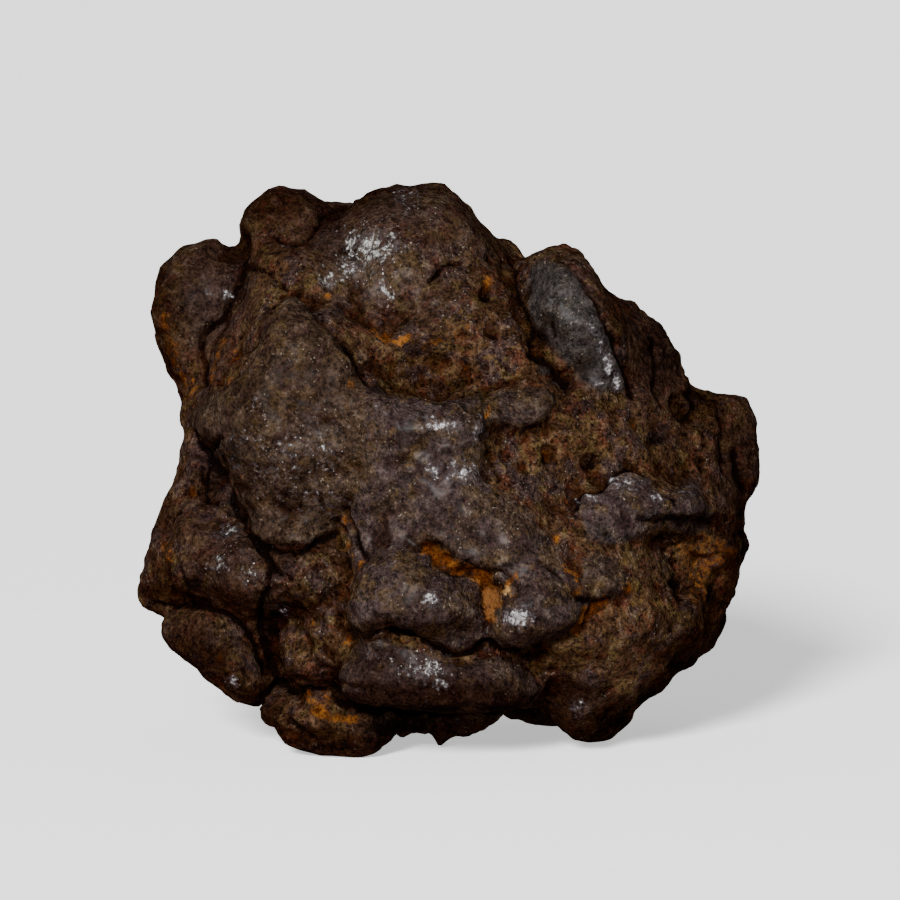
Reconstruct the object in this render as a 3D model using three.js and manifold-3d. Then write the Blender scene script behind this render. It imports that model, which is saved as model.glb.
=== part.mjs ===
// An iron meteorite, one solid piece: a fist-sized knobbly stone whose melted crust lies in smooth
// lobes over a pitted, rusty body. Millimetres, +Z up, seen from -Y, standing on three worn feet.
//
// The stone is written down as seen square on to its face: x to the right, y away from the viewer,
// z up. It is then leaned back a few degrees, stood on the floor and centred on the origin. Its shape
// is a field, below zero inside: round lumps blended together, thumbprint hollows scooped out, sheets
// of crust laid over them, and creases and pits cut in. A geodesic ball is shrunk on to that field.

import * as THREE from "three";
import { mergeVertices } from "three/addons/utils/BufferGeometryUtils.js";
import { ImprovedNoise } from "three/addons/math/ImprovedNoise.js";
import Module from "manifold-3d";

// Driving sizes of the whole stone
const HEART = new THREE.Vector3(0, 4, 42); // the middle of the stone, from which its skin is found
const REACH = 75; // further than any point of the stone is from its heart
const LEAN_BACK = 5; // degrees that the face looks up
const FLOOR_RISE = 0.9; // how far above the face's own zero the floor cuts under the heart
const SKIN_DETAIL = 21; // subdivisions of the geodesic ball
const FACE_CROWDING = 0.22; // draws the ball's points towards the face, where the detail is
const WAVE_HEIGHT = 0.55; // uneven swelling of the whole skin, in a broad wave and a finer one
const WAVE_LENGTH = 9;
const FINE_WAVE_LENGTH = 3.9;

// Blended lumps: [middle], [radii], [turn about x, y, z in degrees], width of the blend into the rest
const LUMPS = [
  // body
  { at: [0, 5, 42], radii: [37, 29, 33], turn: [0, 0, 0], blend: 0 },
  { at: [-22, 0, 50], radii: [17, 22, 22], turn: [0, 0, 0], blend: 6 },
  { at: [24, 8, 36], radii: [18, 22, 22], turn: [0, 0, 0], blend: 6 },
  { at: [-24, 4, 28], radii: [16, 20, 16], turn: [0, 0, 0], blend: 6 },
  { at: [2, -8, 26], radii: [22, 20, 16], turn: [0, 0, 0], blend: 6 },
  // crown, with the saddle and the round knob to its left
  { at: [-6.2, 3, 68.2], radii: [15.5, 17, 17.2], turn: [0, 0, 0], blend: 4 },
  { at: [-17.6, 9, 74.5], radii: [13, 9, 9], turn: [0, 0, 0], blend: 3 },
  { at: [-24.8, 3, 77.4], radii: [7.4, 9, 8.3], turn: [0, 12, 0], blend: 2.5 },
  { at: [-22, -3, 66], radii: [10, 13, 12], turn: [0, 0, 0], blend: 4 },
  { at: [3, -10, 65], radii: [7, 7, 5], turn: [0, 0, 0], blend: 4 },
  // ear: a drop-shaped lobe standing off the left shoulder
  { at: [-37.7, 7, 68.6], radii: [7.6, 8.5, 9.2], turn: [0, 12, 0], blend: 2 },
  { at: [-38, 6.5, 59], radii: [5.6, 7.5, 11.5], turn: [0, -12, 0], blend: 3 },
  { at: [-34.8, 4, 46], radii: [5.6, 10, 12], turn: [0, 0, 0], blend: 3 },
  { at: [-30.5, -5, 62.5], radii: [3.4, 7, 10], turn: [0, 24, 0], blend: 2 },
  // left flank: a rim along the edge, rough lumps inside it and a bead at its foot
  { at: [-40.8, 1, 33], radii: [3.8, 8, 11.5], turn: [0, 14, 0], blend: 2.5 },
  { at: [-42, 0, 23.4], radii: [2.8, 5, 4.2], turn: [0, 0, 0], blend: 2 },
  { at: [-42.9, 1, 23.7], radii: [4.4, 5, 4.3], turn: [0, 0, 0], blend: 0.6 },
  { at: [-35, -8, 29], radii: [7, 8, 8.5], turn: [0, -15, 0], blend: 2 },
  { at: [-29, -15, 27], radii: [6.5, 7, 6.5], turn: [0, 0, 0], blend: 2 },
  { at: [-22, -19, 27], radii: [7, 6, 5.5], turn: [0, 20, 0], blend: 2.5 },
  { at: [-36, -5, 41], radii: [2.4, 5, 6.5], turn: [0, 0, 0], blend: 1.5 },
  // lower left lobe
  { at: [-33.6, -5, 16.2], radii: [10, 9.5, 6.4], turn: [0, 34, 0], blend: 1.5 },
  { at: [-31.5, -9, 11.8], radii: [4, 4, 3.6], turn: [0, 0, 0], blend: 2 },
  { at: [-21, -16, 15.5], radii: [4, 5, 5.5], turn: [0, 0, 0], blend: 2 },
  { at: [-17.6, -19, 19], radii: [2.6, 4, 5.5], turn: [0, 0, 0], blend: 1.5 },
  // face: swellings under the crust
  { at: [-22, -17, 52], radii: [12, 8, 14], turn: [0, -18, 0], blend: 4 },
  { at: [-4, -20, 47], radii: [12, 9, 7], turn: [0, 0, 0], blend: 3 },
  { at: [3, -21, 36], radii: [13, 8, 9], turn: [0, 25, 0], blend: 4 },
  { at: [-6, -22.5, 23.5], radii: [9, 9.5, 5.6], turn: [0, 4, 0], blend: 2 },
  { at: [11, -21, 22], radii: [6.6, 9.5, 6], turn: [0, -28, 0], blend: 2 },
  { at: [15.5, -18, 29], radii: [5.5, 8, 8], turn: [0, 28, 0], blend: 3 },
  { at: [-2, -20.5, 11.8], radii: [14.5, 8.5, 5.2], turn: [0, 4, 0], blend: 2 },
  { at: [6.6, -13, 58], radii: [7, 8, 6], turn: [0, 20, 0], blend: 3 },
  // right shoulder: the smooth tooth, the dark flank behind it and its two ribs
  { at: [18.4, -8, 64], radii: [7.2, 10.5, 13.2], turn: [0, -37, 0], blend: 1.5 },
  { at: [16.6, 3, 68.6], radii: [6.4, 9, 7.2], turn: [0, 0, 0], blend: 3 },
  { at: [23.5, 6, 56.5], radii: [11, 17, 12.5], turn: [0, -35, 0], blend: 3 },
  { at: [30.6, 2, 55], radii: [3, 9, 9], turn: [0, -16, 0], blend: 2.5 },
  { at: [34.3, 4, 52.5], radii: [3, 8, 5.5], turn: [0, -30, 0], blend: 2 },
  // right edge and its double knob
  { at: [34.2, 6, 32.6], radii: [10, 17, 17], turn: [0, 0, 0], blend: 3 },
  { at: [42, 7, 48.6], radii: [4.6, 6, 5.4], turn: [0, 0, 0], blend: 1.5 },
  { at: [43.6, 5, 42.6], radii: [4.4, 5.4, 4.4], turn: [0, 0, 0], blend: 1 },
  { at: [38.6, -1, 46], radii: [2, 6, 6], turn: [0, 8, 0], blend: 1.5 },
  { at: [27, -13, 37], radii: [9, 6, 4.6], turn: [0, 6, 0], blend: 3 },
  { at: [20, -14, 22], radii: [13, 11.5, 14], turn: [0, 0, 0], blend: 3 },
  { at: [31.5, -11, 25], radii: [3.4, 7, 7], turn: [0, -14, 0], blend: 2 },
  { at: [26, -9, 17], radii: [13, 10, 8], turn: [0, -32, 0], blend: 3 },
  { at: [31.3, 3, 16], radii: [10.7, 11, 6.6], turn: [0, -42, 0], blend: 3 },
  // feet: left front, right and the two hidden at the back, with the ragged lower edge between
  { at: [-18.5, -10, 6.4], radii: [8.8, 8, 6.6], turn: [0, 10, 0], blend: 2.5 },
  { at: [-13.4, -13, 4.6], radii: [4.6, 5, 4.6], turn: [0, 0, 0], blend: 1.5 },
  { at: [-24.3, -5, 5.7], radii: [3.8, 6, 3], turn: [0, 38, 0], blend: 2 },
  { at: [20.8, 6, 8], radii: [7.3, 8.5, 7.4], turn: [0, 0, 0], blend: 2.5 },
  { at: [18.8, -9, 11.5], radii: [5.4, 9, 9], turn: [-24, 0, 0], blend: 3 },
  { at: [-1, -2, 8.7], radii: [17, 13, 6.2], turn: [0, 0, 0], blend: 2 },
  { at: [-10, 22, 13.2], radii: [13, 11, 10.8], turn: [0, -12, 0], blend: 7 },
  { at: [18, 24, 16], radii: [11, 10, 13.4], turn: [0, 10, 0], blend: 7 },
  { at: [3, 17, 18], radii: [25, 17, 12.5], turn: [0, 4, 0], blend: 6 },
  // back: broad knuckles
  { at: [-20, 25, 58], radii: [14, 12, 12], turn: [0, 25, 20], blend: 9 },
  { at: [12, 26, 52], radii: [16, 12, 10], turn: [10, 30, 0], blend: 8 },
  { at: [-3, 28.5, 34], radii: [15, 10, 8], turn: [0, -24, 0], blend: 7 },
  { at: [25.5, 21, 26], radii: [11, 11, 12], turn: [0, 30, 0], blend: 7 },
  { at: [-29, 19, 33], radii: [11, 11, 13], turn: [0, -20, 0], blend: 7 },
  { at: [-25.5, 19, 16], radii: [9, 8, 7], turn: [0, 20, 0], blend: 5 },
  { at: [4, 20, 70], radii: [13, 10, 8], turn: [20, 10, 0], blend: 7 },
  { at: [32, 17, 45], radii: [7, 9, 9], turn: [0, -20, 0], blend: 5 },
  { at: [-14, 32, 46], radii: [7, 7, 5], turn: [0, 40, 0], blend: 4 },
];

// Thumbprint hollows, scooped out of the lumps: written as the lumps are
const HOLLOWS = [
  { at: [-1.5, -31, 60.6], radii: [16.5, 15.5, 7.4], turn: [-14, 4, 0], blend: 2.5 }, // under the crown
  { at: [11, -27, 70], radii: [5, 17, 5], turn: [0, 30, 0], blend: 3 }, // between crown and tooth
  { at: [-35.2, -17, 41], radii: [2.6, 10, 10], turn: [0, -26, 0], blend: 1.5 }, // left of the slab
  { at: [38.5, -19, 28.5], radii: [6.6, 14, 7.5], turn: [0, 16, 0], blend: 2.5 }, // right, three-sided
  { at: [23, -36.5, 48.5], radii: [14, 13, 7.5], turn: [0, -6, 0], blend: 4 }, // rusty plain, right
  { at: [-5, -35.5, 46.6], radii: [5.5, 5, 1.6], turn: [0, -6, 0], blend: 1.5 }, // trough
  { at: [34, -22, 60], radii: [8, 17, 10], turn: [0, -38, 0], blend: 3 }, // right shoulder
  { at: [38, -20, 3.8], radii: [15, 18, 6], turn: [0, -40, 0], blend: 1.6 }, // lower right
  { at: [5, -6, -3.2], radii: [11, 30, 5.5], turn: [0, 0, 0], blend: 2 }, // arch between the feet
  { at: [2, 10, -3], radii: [26, 6, 6], turn: [0, 0, 8], blend: 4 }, // arch behind the front feet
  { at: [-3, 47, 62], radii: [12, 14, 7], turn: [0, 20, 0], blend: 6 }, // back, high
  { at: [-23, 42, 42], radii: [9, 14, 6], turn: [0, -25, 20], blend: 6 }, // back, left
  { at: [17, 44, 39], radii: [11, 12, 5], turn: [0, 25, 0], blend: 6 }, // back, middle
  { at: [-8, 44, 21], radii: [12, 12, 5], turn: [0, -10, 0], blend: 6 }, // back, low
  { at: [44, 24, 36], radii: [8, 7, 8], turn: [0, 0, 0], blend: 3 }, // right end
  { at: [-45, 16, 46], radii: [7, 9, 8], turn: [0, 0, 0], blend: 3 }, // left end
  { at: [-10, 20, 88], radii: [9, 8, 8], turn: [0, 0, 0], blend: 4 }, // top, behind the crown
  { at: [18, 18, 80], radii: [8, 9, 9], turn: [0, 0, 0], blend: 4 }, // top, behind the tooth
];

// Sheets of melted crust on the face: how far each stands proud, and its rounded outline as
// [x, z, width of the shoulder there] points. A sheet that lies lower than the rest is a hollow in them
const SHEETS = [
  {
    // left slab
    rise: 2.8,
    outline: [
      [-22.3, 68.2, 1.4], [-19.2, 64.4, 1.2], [-15.6, 60.8, 1.2], [-13.2, 56.6, 1.3], [-10, 51, 2],
      [-10, 44, 4], [-12, 36.6, 4], [-17, 33.4, 2.4], [-22.6, 30.8, 2], [-28, 31.8, 1.5],
      [-31, 37, 1.3], [-33, 42.4, 1.3], [-37, 46.8, 1.5], [-39.4, 50, 2.5], [-37, 52.6, 4.5],
      [-32.6, 55, 5], [-29.2, 60.2, 4.5], [-26.2, 65.8, 2.5],
    ],
  },
  {
    // middle sheet, which ends below in two paws
    rise: 2.8,
    outline: [
      [-12.9, 54.8, 1.3], [-7.5, 53.2, 1.3], [-1.5, 52.4, 1.3], [3, 53.6, 1.5], [5.6, 53.4, 1.8],
      [6.4, 49.8, 2.2], [6, 45.6, 3.5], [5.2, 42.6, 5], [7, 39.4, 6], [11.2, 36.6, 6],
      [15.6, 31.6, 5], [20, 25, 2.4], [20.4, 22, 1.5], [17.4, 19.2, 1.2], [12, 17, 1.2],
      [7.4, 16.6, 1.2], [5.4, 17.8, 1.2], [2.2, 16.2, 1.2], [-1.8, 16.8, 1.2], [-5.6, 19.2, 1.2],
      [-9.8, 19.6, 1.2], [-12.6, 17.2, 1.4], [-15, 18.8, 1.4], [-15.6, 22.4, 1.6], [-14, 26, 1.8],
      [-15.2, 30.8, 2.2], [-16, 37, 4], [-16, 46.4, 4],
    ],
  },
  {
    // small tongue right of the middle sheet
    rise: 2,
    outline: [
      [4, 53, 2], [10.2, 54.6, 1.8], [14, 54.4, 1.5], [15.6, 52.4, 1.4], [13.6, 49.8, 1.4],
      [9.4, 48.6, 1.6], [4, 50, 2],
    ],
  },
  {
    // long ledge under the paws
    rise: 2,
    outline: [
      [-14, 17, 1.6], [-9.8, 17.8, 1.4], [-5.6, 16.8, 1.4], [-1.6, 14.8, 1.4], [2.4, 14.4, 1.4],
      [6, 15.2, 1.6], [10.6, 13.8, 2.5], [14, 10.6, 4.5], [13.6, 7.6, 3.5], [8.4, 7, 1.6],
      [0, 6.7, 1.2], [-8, 7.2, 1.2], [-15, 8, 1.4], [-16.6, 11, 2.2], [-15.4, 14, 2],
    ],
  },
  {
    // peaked ledge at the right
    rise: 2.2,
    outline: [
      [18.8, 37, 1.6], [19.8, 39.2, 1.3], [22.4, 39.8, 1.3], [24.4, 42, 1.2], [26.6, 42.8, 1.2],
      [29, 42, 1.2], [31, 39.8, 1.3], [33.4, 38.2, 1.5], [35.4, 40.2, 1.4], [37.6, 39.4, 1.5],
      [38.6, 36.4, 1.8], [37, 33.6, 1.6], [32, 33.4, 2.5], [26, 31, 5], [20, 32, 6],
    ],
  },
  {
    // small raised lump below the peaked ledge
    rise: 1.5,
    outline: [
      [19, 29.6, 2.4], [22.4, 30.2, 2], [25.4, 28, 1.8], [25, 24.4, 1.5], [22.4, 22.8, 1.2],
      [19.6, 24, 1.4],
    ],
  },
  {
    // three-cornered rusty hollow
    rise: -1.2,
    outline: [
      [30.6, 34.2, 1.6], [35.6, 34.4, 1.3], [41, 33.6, 1.6], [41.4, 29.4, 3], [38.8, 25.2, 3],
      [37, 20.4, 3], [34.4, 22.4, 2.4], [33.2, 27, 2], [32, 30.6, 2],
    ],
  },
];

// Creases in the face: [x, z] points of the line, half the width at the skin, and the depth
const CREASES = [
  { width: 1.1, depth: 2, line: [[-26.2, 77], [-22.6, 76.8], [-19.4, 79.2], [-17.2, 81.6]] },
  {
    width: 1.2,
    depth: 2.6,
    line: [[-31, 73.5], [-32, 69], [-33.8, 64.4], [-36.6, 60.4], [-36.4, 55.4]],
  },
  { width: 1, depth: 1.8, line: [[-30.4, 62.8], [-32.4, 58.6], [-34, 56.2]] },
  {
    width: 1.2,
    depth: 2.6,
    line: [[9.4, 72.2], [10.4, 67.6], [12.2, 62.6], [14.4, 58.6], [17.4, 55.2]],
  },
  { width: 1.3, depth: 2.6, line: [[-36.6, 46.4], [-34.4, 41.6], [-31.8, 37], [-30, 32], [-27, 28.4]] },
  {
    width: 1.2,
    depth: 2.4,
    line: [[-43.4, 22.4], [-37.4, 22], [-32.6, 20.4], [-28.2, 17], [-26.8, 11.6]],
  },
  {
    width: 1.2,
    depth: 2.2,
    line: [[-3.2, 30], [-0.6, 28.4], [3.2, 27.4], [5.2, 25.8], [5.8, 22.6], [5.6, 18.6]],
  },
  { width: 1, depth: 1.4, line: [[5.6, 24.4], [8.4, 25.2], [10.8, 27]] },
  {
    width: 1.4,
    depth: 2.6,
    line: [[-27, 9.2], [-22, 9.4], [-16.6, 7.2], [-7.4, 6.4], [0, 5.6], [8, 5.9], [14.6, 5.2]],
  },
  { width: 1, depth: 1.6, line: [[20.4, 23.6], [23, 22.6], [26.2, 24.6], [27.2, 26.4]] },
  { width: 0.9, depth: 2, line: [[43.2, 44], [42.6, 41.4], [43.4, 39.4]] },
];

// Pits in the face: [x, z] of the mouth, its radius and its depth
const PITS = [
  { at: [5.8, 69.2], radius: 1.2, depth: 2.4 },
  { at: [6, 62.6], radius: 1.2, depth: 1.4 },
  { at: [14.8, 44.2], radius: 1, depth: 1.8 },
  { at: [21, 43], radius: 1.1, depth: 1.4 },
  { at: [32.2, 47], radius: 1.6, depth: 1.8 },
  { at: [-2, 30.6], radius: 1, depth: 1.6 },
  { at: [33.6, 23.4], radius: 1.8, depth: 1.8 },
  { at: [-19.4, 67.6], radius: 1, depth: 1.4 },
];

const FACE_DEPTH = 12; // the face's sheets, creases and pits fade out this far behind the heart
const FACE_FADE = 8;
const BEND_PULL = 4; // how much more the skin's points crowd where it bends most sharply
const EVENING_ROUNDS = 16; // how often the skin's points are evened out, and how far each time
const EVENING_SHARE = 0.5;
const OUTLINE_STEPS = 4; // points that a rounded line has for each one that is given

const noise = new ImprovedNoise();

// Joins two fields with a rounded fillet of the given width
function blended(a, b, width) {
  if (width <= 0) return Math.min(a, b);
  const share = Math.max(width - Math.abs(a - b), 0) / width;
  return Math.min(a, b) - (share * share * width) / 4;
}

// An ellipsoid as a function of the place, about a distance near its skin
function ellipsoid({ at, radii, turn }) {
  const [tx, ty, tz] = turn.map(THREE.MathUtils.degToRad);
  const toOwn = new THREE.Matrix4()
    .makeRotationFromEuler(new THREE.Euler(tx, ty, tz))
    .setPosition(...at)
    .invert();
  const own = new THREE.Vector3();
  const [a, b, c] = radii;
  return (place) => {
    own.copy(place).applyMatrix4(toOwn);
    const level = Math.hypot(own.x / a, own.y / b, own.z / c);
    const slope = Math.hypot(own.x / (a * a), own.y / (b * b), own.z / (c * c));
    return slope < 1e-9 ? -Math.min(a, b, c) : (level * (level - 1)) / slope;
  };
}

// A smooth line through [x, z] points, which may give a width too
function roundedLine(points, closed) {
  const through = points.map(([x, z, width = 1]) => new THREE.Vector3(x, width, z));
  const curve = new THREE.CatmullRomCurve3(through, closed, "centripetal");
  return curve.getPoints(points.length * OUTLINE_STEPS).map((p) => ({ x: p.x, z: p.z, width: p.y }));
}

// Distance in the face's plane to a line, in its widths there, and less than zero inside it
function lineDistance(line) {
  const box = new THREE.Box2().setFromPoints(line.map(({ x, z }) => new THREE.Vector2(x, z)));
  const widest = Math.max(...line.map(({ width }) => width));
  const flat = new THREE.Vector2();
  return (x, z, limit) => {
    flat.set(x, z);
    if (box.distanceToPoint(flat) > limit * widest) return limit;
    let nearest = Infinity;
    let inside = false;
    for (let i = 1; i < line.length; i++) {
      const a = line[i - 1];
      const b = line[i];
      const ex = b.x - a.x;
      const ez = b.z - a.z;
      const along = ((x - a.x) * ex + (z - a.z) * ez) / (ex * ex + ez * ez);
      const t = Math.min(1, Math.max(0, along));
      const width = a.width + t * (b.width - a.width);
      nearest = Math.min(nearest, Math.hypot(x - a.x - t * ex, z - a.z - t * ez) / width);
      if (a.z > z !== b.z > z && x < a.x + ((z - a.z) / ez) * ex) inside = !inside;
    }
    return inside ? -nearest : nearest;
  };
}

const lumps = LUMPS.map((lump) => ({ field: ellipsoid(lump), blend: lump.blend }));
const hollows = HOLLOWS.map((hollow) => ({ field: ellipsoid(hollow), blend: hollow.blend }));
const sheets = SHEETS.map(({ rise, outline }) => ({
  rise,
  distance: lineDistance(roundedLine(outline, true)),
}));
const creases = CREASES.map(({ width, depth, line }) => ({
  width,
  depth,
  distance: lineDistance(roundedLine(line, false)),
}));

// How far the crust on the face stands above the lumps at a place, creases and pits taken off
function faceRelief({ x, y, z }) {
  const facing = THREE.MathUtils.smoothstep(HEART.y + FACE_DEPTH - y, 0, FACE_FADE);
  if (facing === 0) return 0;
  let above = 0;
  let below = 0;
  for (const { rise, distance } of sheets) {
    const height = rise * THREE.MathUtils.smoothstep(-distance(x, z, 1), -0.5, 1);
    above = Math.max(above, height);
    below = Math.min(below, height);
  }
  let height = above + below;
  for (const { width, depth, distance } of creases) {
    const off = Math.abs(distance(x, z, 3 * width)) / width;
    height -= depth * Math.exp(-off * off);
  }
  for (const { at, radius, depth } of PITS) {
    const off = Math.hypot(x - at[0], z - at[1]) / radius;
    height -= depth * Math.exp(-off * off);
  }
  return height * facing;
}

// Slow, uneven swelling that keeps the lumps from looking turned on a lathe
function wave({ x, y, z }) {
  const broad = noise.noise(x / WAVE_LENGTH, y / WAVE_LENGTH, z / WAVE_LENGTH);
  const fine = noise.noise(x / FINE_WAVE_LENGTH, y / FINE_WAVE_LENGTH, z / FINE_WAVE_LENGTH);
  return WAVE_HEIGHT * (2 * broad + fine);
}

// The whole stone: below zero inside
function stoneField(place) {
  let value = Infinity;
  for (const { field, blend } of lumps) value = blended(value, field(place), blend);
  for (const { field, blend } of hollows) value = -blended(-value, field(place), blend);
  return value - wave(place) - faceRelief(place);
}

// Which way the field grows at a place, and how fast
function slopeAt(place, slope) {
  const step = 0.2;
  const probe = new THREE.Vector3();
  const value = stoneField(place);
  for (const axis of ["x", "y", "z"]) {
    probe.copy(place)[axis] += step;
    slope[axis] = (stoneField(probe) - value) / step;
  }
  return slope;
}

// The outermost place of the stone on a line out of its heart
function skinAlong(direction) {
  const shortestStep = 0.25;
  const caution = 0.4; // share of the field's own distance that it is safe to step
  const halvings = 14;
  const place = new THREE.Vector3();
  const valueAt = (r) => stoneField(place.copy(direction).multiplyScalar(r).add(HEART));
  let outside = REACH;
  let inside = REACH;
  for (let value = valueAt(inside); value >= 0; value = valueAt(inside)) {
    outside = inside;
    inside -= Math.max(shortestStep, caution * value);
  }
  for (let i = 0; i < halvings; i++) {
    const middle = (outside + inside) / 2;
    if (valueAt(middle) < 0) inside = middle;
    else outside = middle;
  }
  return place.copy(direction).multiplyScalar(inside).add(HEART).clone();
}

// Moves a place on to the skin, straight down the field's slope
function settle(place) {
  const steps = 2;
  const longestStep = 0.8;
  const leastSlope = 0.3; // squared, so that a flat spot of the field throws nothing far
  const slope = new THREE.Vector3();
  for (let i = 0; i < steps; i++) {
    const steepness = Math.max(leastSlope, slopeAt(place, slope).lengthSq());
    const way = -stoneField(place) / steepness;
    place.addScaledVector(slope, THREE.MathUtils.clamp(way, -longestStep, longestStep));
  }
}

// How strongly a point draws the others towards itself: more where the skin bends
function pullOf(point, around) {
  const middle = new THREE.Vector3();
  let apart = 0;
  for (const other of around) {
    middle.addScaledVector(other, 1 / around.length);
    apart += point.distanceTo(other) / around.length;
  }
  return 1 + BEND_PULL * Math.min(1, middle.distanceTo(point) / apart);
}

// The ball's points, shrunk on to the skin and then evened out along it
function skinGeometry() {
  const ball = new THREE.IcosahedronGeometry(1, SKIN_DETAIL);
  ball.deleteAttribute("normal");
  ball.deleteAttribute("uv");
  const geometry = mergeVertices(ball, 1e-5);
  const position = geometry.attributes.position;
  const points = [];
  for (let i = 0; i < position.count; i++) {
    const direction = new THREE.Vector3().fromBufferAttribute(position, i);
    direction.y -= FACE_CROWDING;
    points.push(skinAlong(direction.normalize()));
  }
  const index = geometry.index.array;
  const neighbours = points.map(() => new Set());
  for (let i = 0; i < index.length; i += 3) {
    for (let corner = 0; corner < 3; corner++) {
      neighbours[index[i + corner]].add(index[i + ((corner + 1) % 3)]);
      neighbours[index[i + corner]].add(index[i + ((corner + 2) % 3)]);
    }
  }
  for (let round = 0; round < EVENING_ROUNDS; round++) {
    const pulls = points.map((point, i) => pullOf(point, [...neighbours[i]].map((n) => points[n])));
    const evened = points.map((point, i) => {
      const middle = new THREE.Vector3();
      let total = 0;
      for (const n of neighbours[i]) {
        middle.addScaledVector(points[n], pulls[n]);
        total += pulls[n];
      }
      return point.clone().lerp(middle.divideScalar(total), EVENING_SHARE);
    });
    evened.forEach((point, i) => {
      settle(point);
      points[i].copy(point);
    });
  }
  points.forEach((point, i) => position.setXYZ(i, point.x, point.y, point.z));
  return geometry;
}

// Between a three.js geometry and a solid that can be cut
function solidOf(wasm, geometry) {
  const merged = mergeVertices(geometry, 1e-4);
  return new wasm.Manifold(
    new wasm.Mesh({
      numProp: 3,
      vertProperties: merged.attributes.position.array,
      triVerts: new Uint32Array(merged.index.array),
    }),
  );
}

function geometryOf(solid) {
  const mesh = solid.getMesh();
  return new THREE.BufferGeometry()
    .setAttribute("position", new THREE.BufferAttribute(mesh.vertProperties, 3))
    .setIndex(new THREE.BufferAttribute(mesh.triVerts, 1));
}

// Leans the stone back, lowers it on to the floor, wears its feet flat there and centres it
async function standingStone() {
  const wasm = await Module();
  wasm.setup();
  const skin = skinGeometry();
  skin.rotateX(-THREE.MathUtils.degToRad(LEAN_BACK));
  skin.translate(0, 0, -FLOOR_RISE);
  const side = 4 * REACH;
  const floor = new THREE.BoxGeometry(side, side, REACH).translate(0, 0, -REACH / 2);
  floor.deleteAttribute("normal");
  floor.deleteAttribute("uv");
  const worn = geometryOf(solidOf(wasm, skin).subtract(solidOf(wasm, floor)));
  worn.computeBoundingBox();
  const middle = worn.boundingBox.getCenter(new THREE.Vector3());
  return worn.translate(-middle.x, -middle.y, 0);
}

const crust = new THREE.MeshStandardMaterial({
  color: new THREE.Color(0.11, 0.08, 0.06),
  roughness: 0.5,
  metalness: 0.45,
  flatShading: true,
});

const meteorite = new THREE.Mesh(await standingStone(), crust);
meteorite.name = "meteorite";

const stone = new THREE.Group();
stone.add(meteorite);

export default stone;
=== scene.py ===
import math

import bpy
import numpy as np
from mathutils import Matrix, Vector, noise
from mathutils.kdtree import KDTree


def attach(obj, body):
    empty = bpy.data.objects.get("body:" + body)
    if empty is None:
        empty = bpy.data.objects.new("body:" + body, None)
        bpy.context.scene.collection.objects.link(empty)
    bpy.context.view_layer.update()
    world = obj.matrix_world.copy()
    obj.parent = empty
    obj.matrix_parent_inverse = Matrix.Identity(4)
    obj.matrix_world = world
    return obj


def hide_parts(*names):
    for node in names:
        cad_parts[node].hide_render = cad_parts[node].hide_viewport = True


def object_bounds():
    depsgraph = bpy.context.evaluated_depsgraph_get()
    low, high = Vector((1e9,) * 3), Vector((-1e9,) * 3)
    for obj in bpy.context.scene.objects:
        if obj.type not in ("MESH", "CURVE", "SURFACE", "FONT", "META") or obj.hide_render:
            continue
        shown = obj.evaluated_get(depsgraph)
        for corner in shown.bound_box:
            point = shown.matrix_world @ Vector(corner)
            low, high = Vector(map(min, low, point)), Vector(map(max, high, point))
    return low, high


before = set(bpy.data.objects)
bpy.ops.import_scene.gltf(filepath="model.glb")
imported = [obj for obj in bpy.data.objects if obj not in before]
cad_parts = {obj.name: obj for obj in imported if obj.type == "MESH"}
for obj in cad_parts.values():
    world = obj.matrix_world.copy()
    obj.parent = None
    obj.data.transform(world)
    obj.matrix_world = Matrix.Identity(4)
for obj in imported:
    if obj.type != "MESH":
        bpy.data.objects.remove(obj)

cad_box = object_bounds()

# The view. The stone is seen square on to its face, from a little above, through a long lens.
# Its face was laid out in millimetres as seen from there (x to the right, y away, z up), then
# leaned back and moved to stand on the origin, so these values lead from one frame to the other.
LEAN_BACK = math.radians(5)
FLOOR_RISE = 0.9  # the floor's height on the laid-out face
FACE_LEFT, FACE_FRONT = -47.43, -32.87  # the lowest x and y of the stone before it was centred
SHIFT = np.array([FACE_LEFT, FACE_FRONT, FLOOR_RISE]) - 1000 * np.array([*cad_box[0][:2], 0])
VIEW_HEIGHT = 45.3  # the picture's middle, on the face
VIEW_DISTANCE = 937.5
TURN = np.array(Matrix.Rotation(LEAN_BACK, 3, "X"))


def row_place(face_place):
    """From the face's millimetres to the part's own frame, in metres"""
    return (TURN.T @ np.array(face_place) - SHIFT) / 1000


lens = bpy.data.cameras.new("view")
lens.lens = 250
lens.sensor_width = 36
lens.clip_start = 0.05
camera = bpy.data.objects.new("view", lens)
bpy.context.scene.collection.objects.link(camera)
camera.location = row_place((0, -VIEW_DISTANCE, VIEW_HEIGHT))
camera.rotation_euler = (math.radians(90) - LEAN_BACK, 0, 0)
bpy.context.scene.camera = camera


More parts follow.
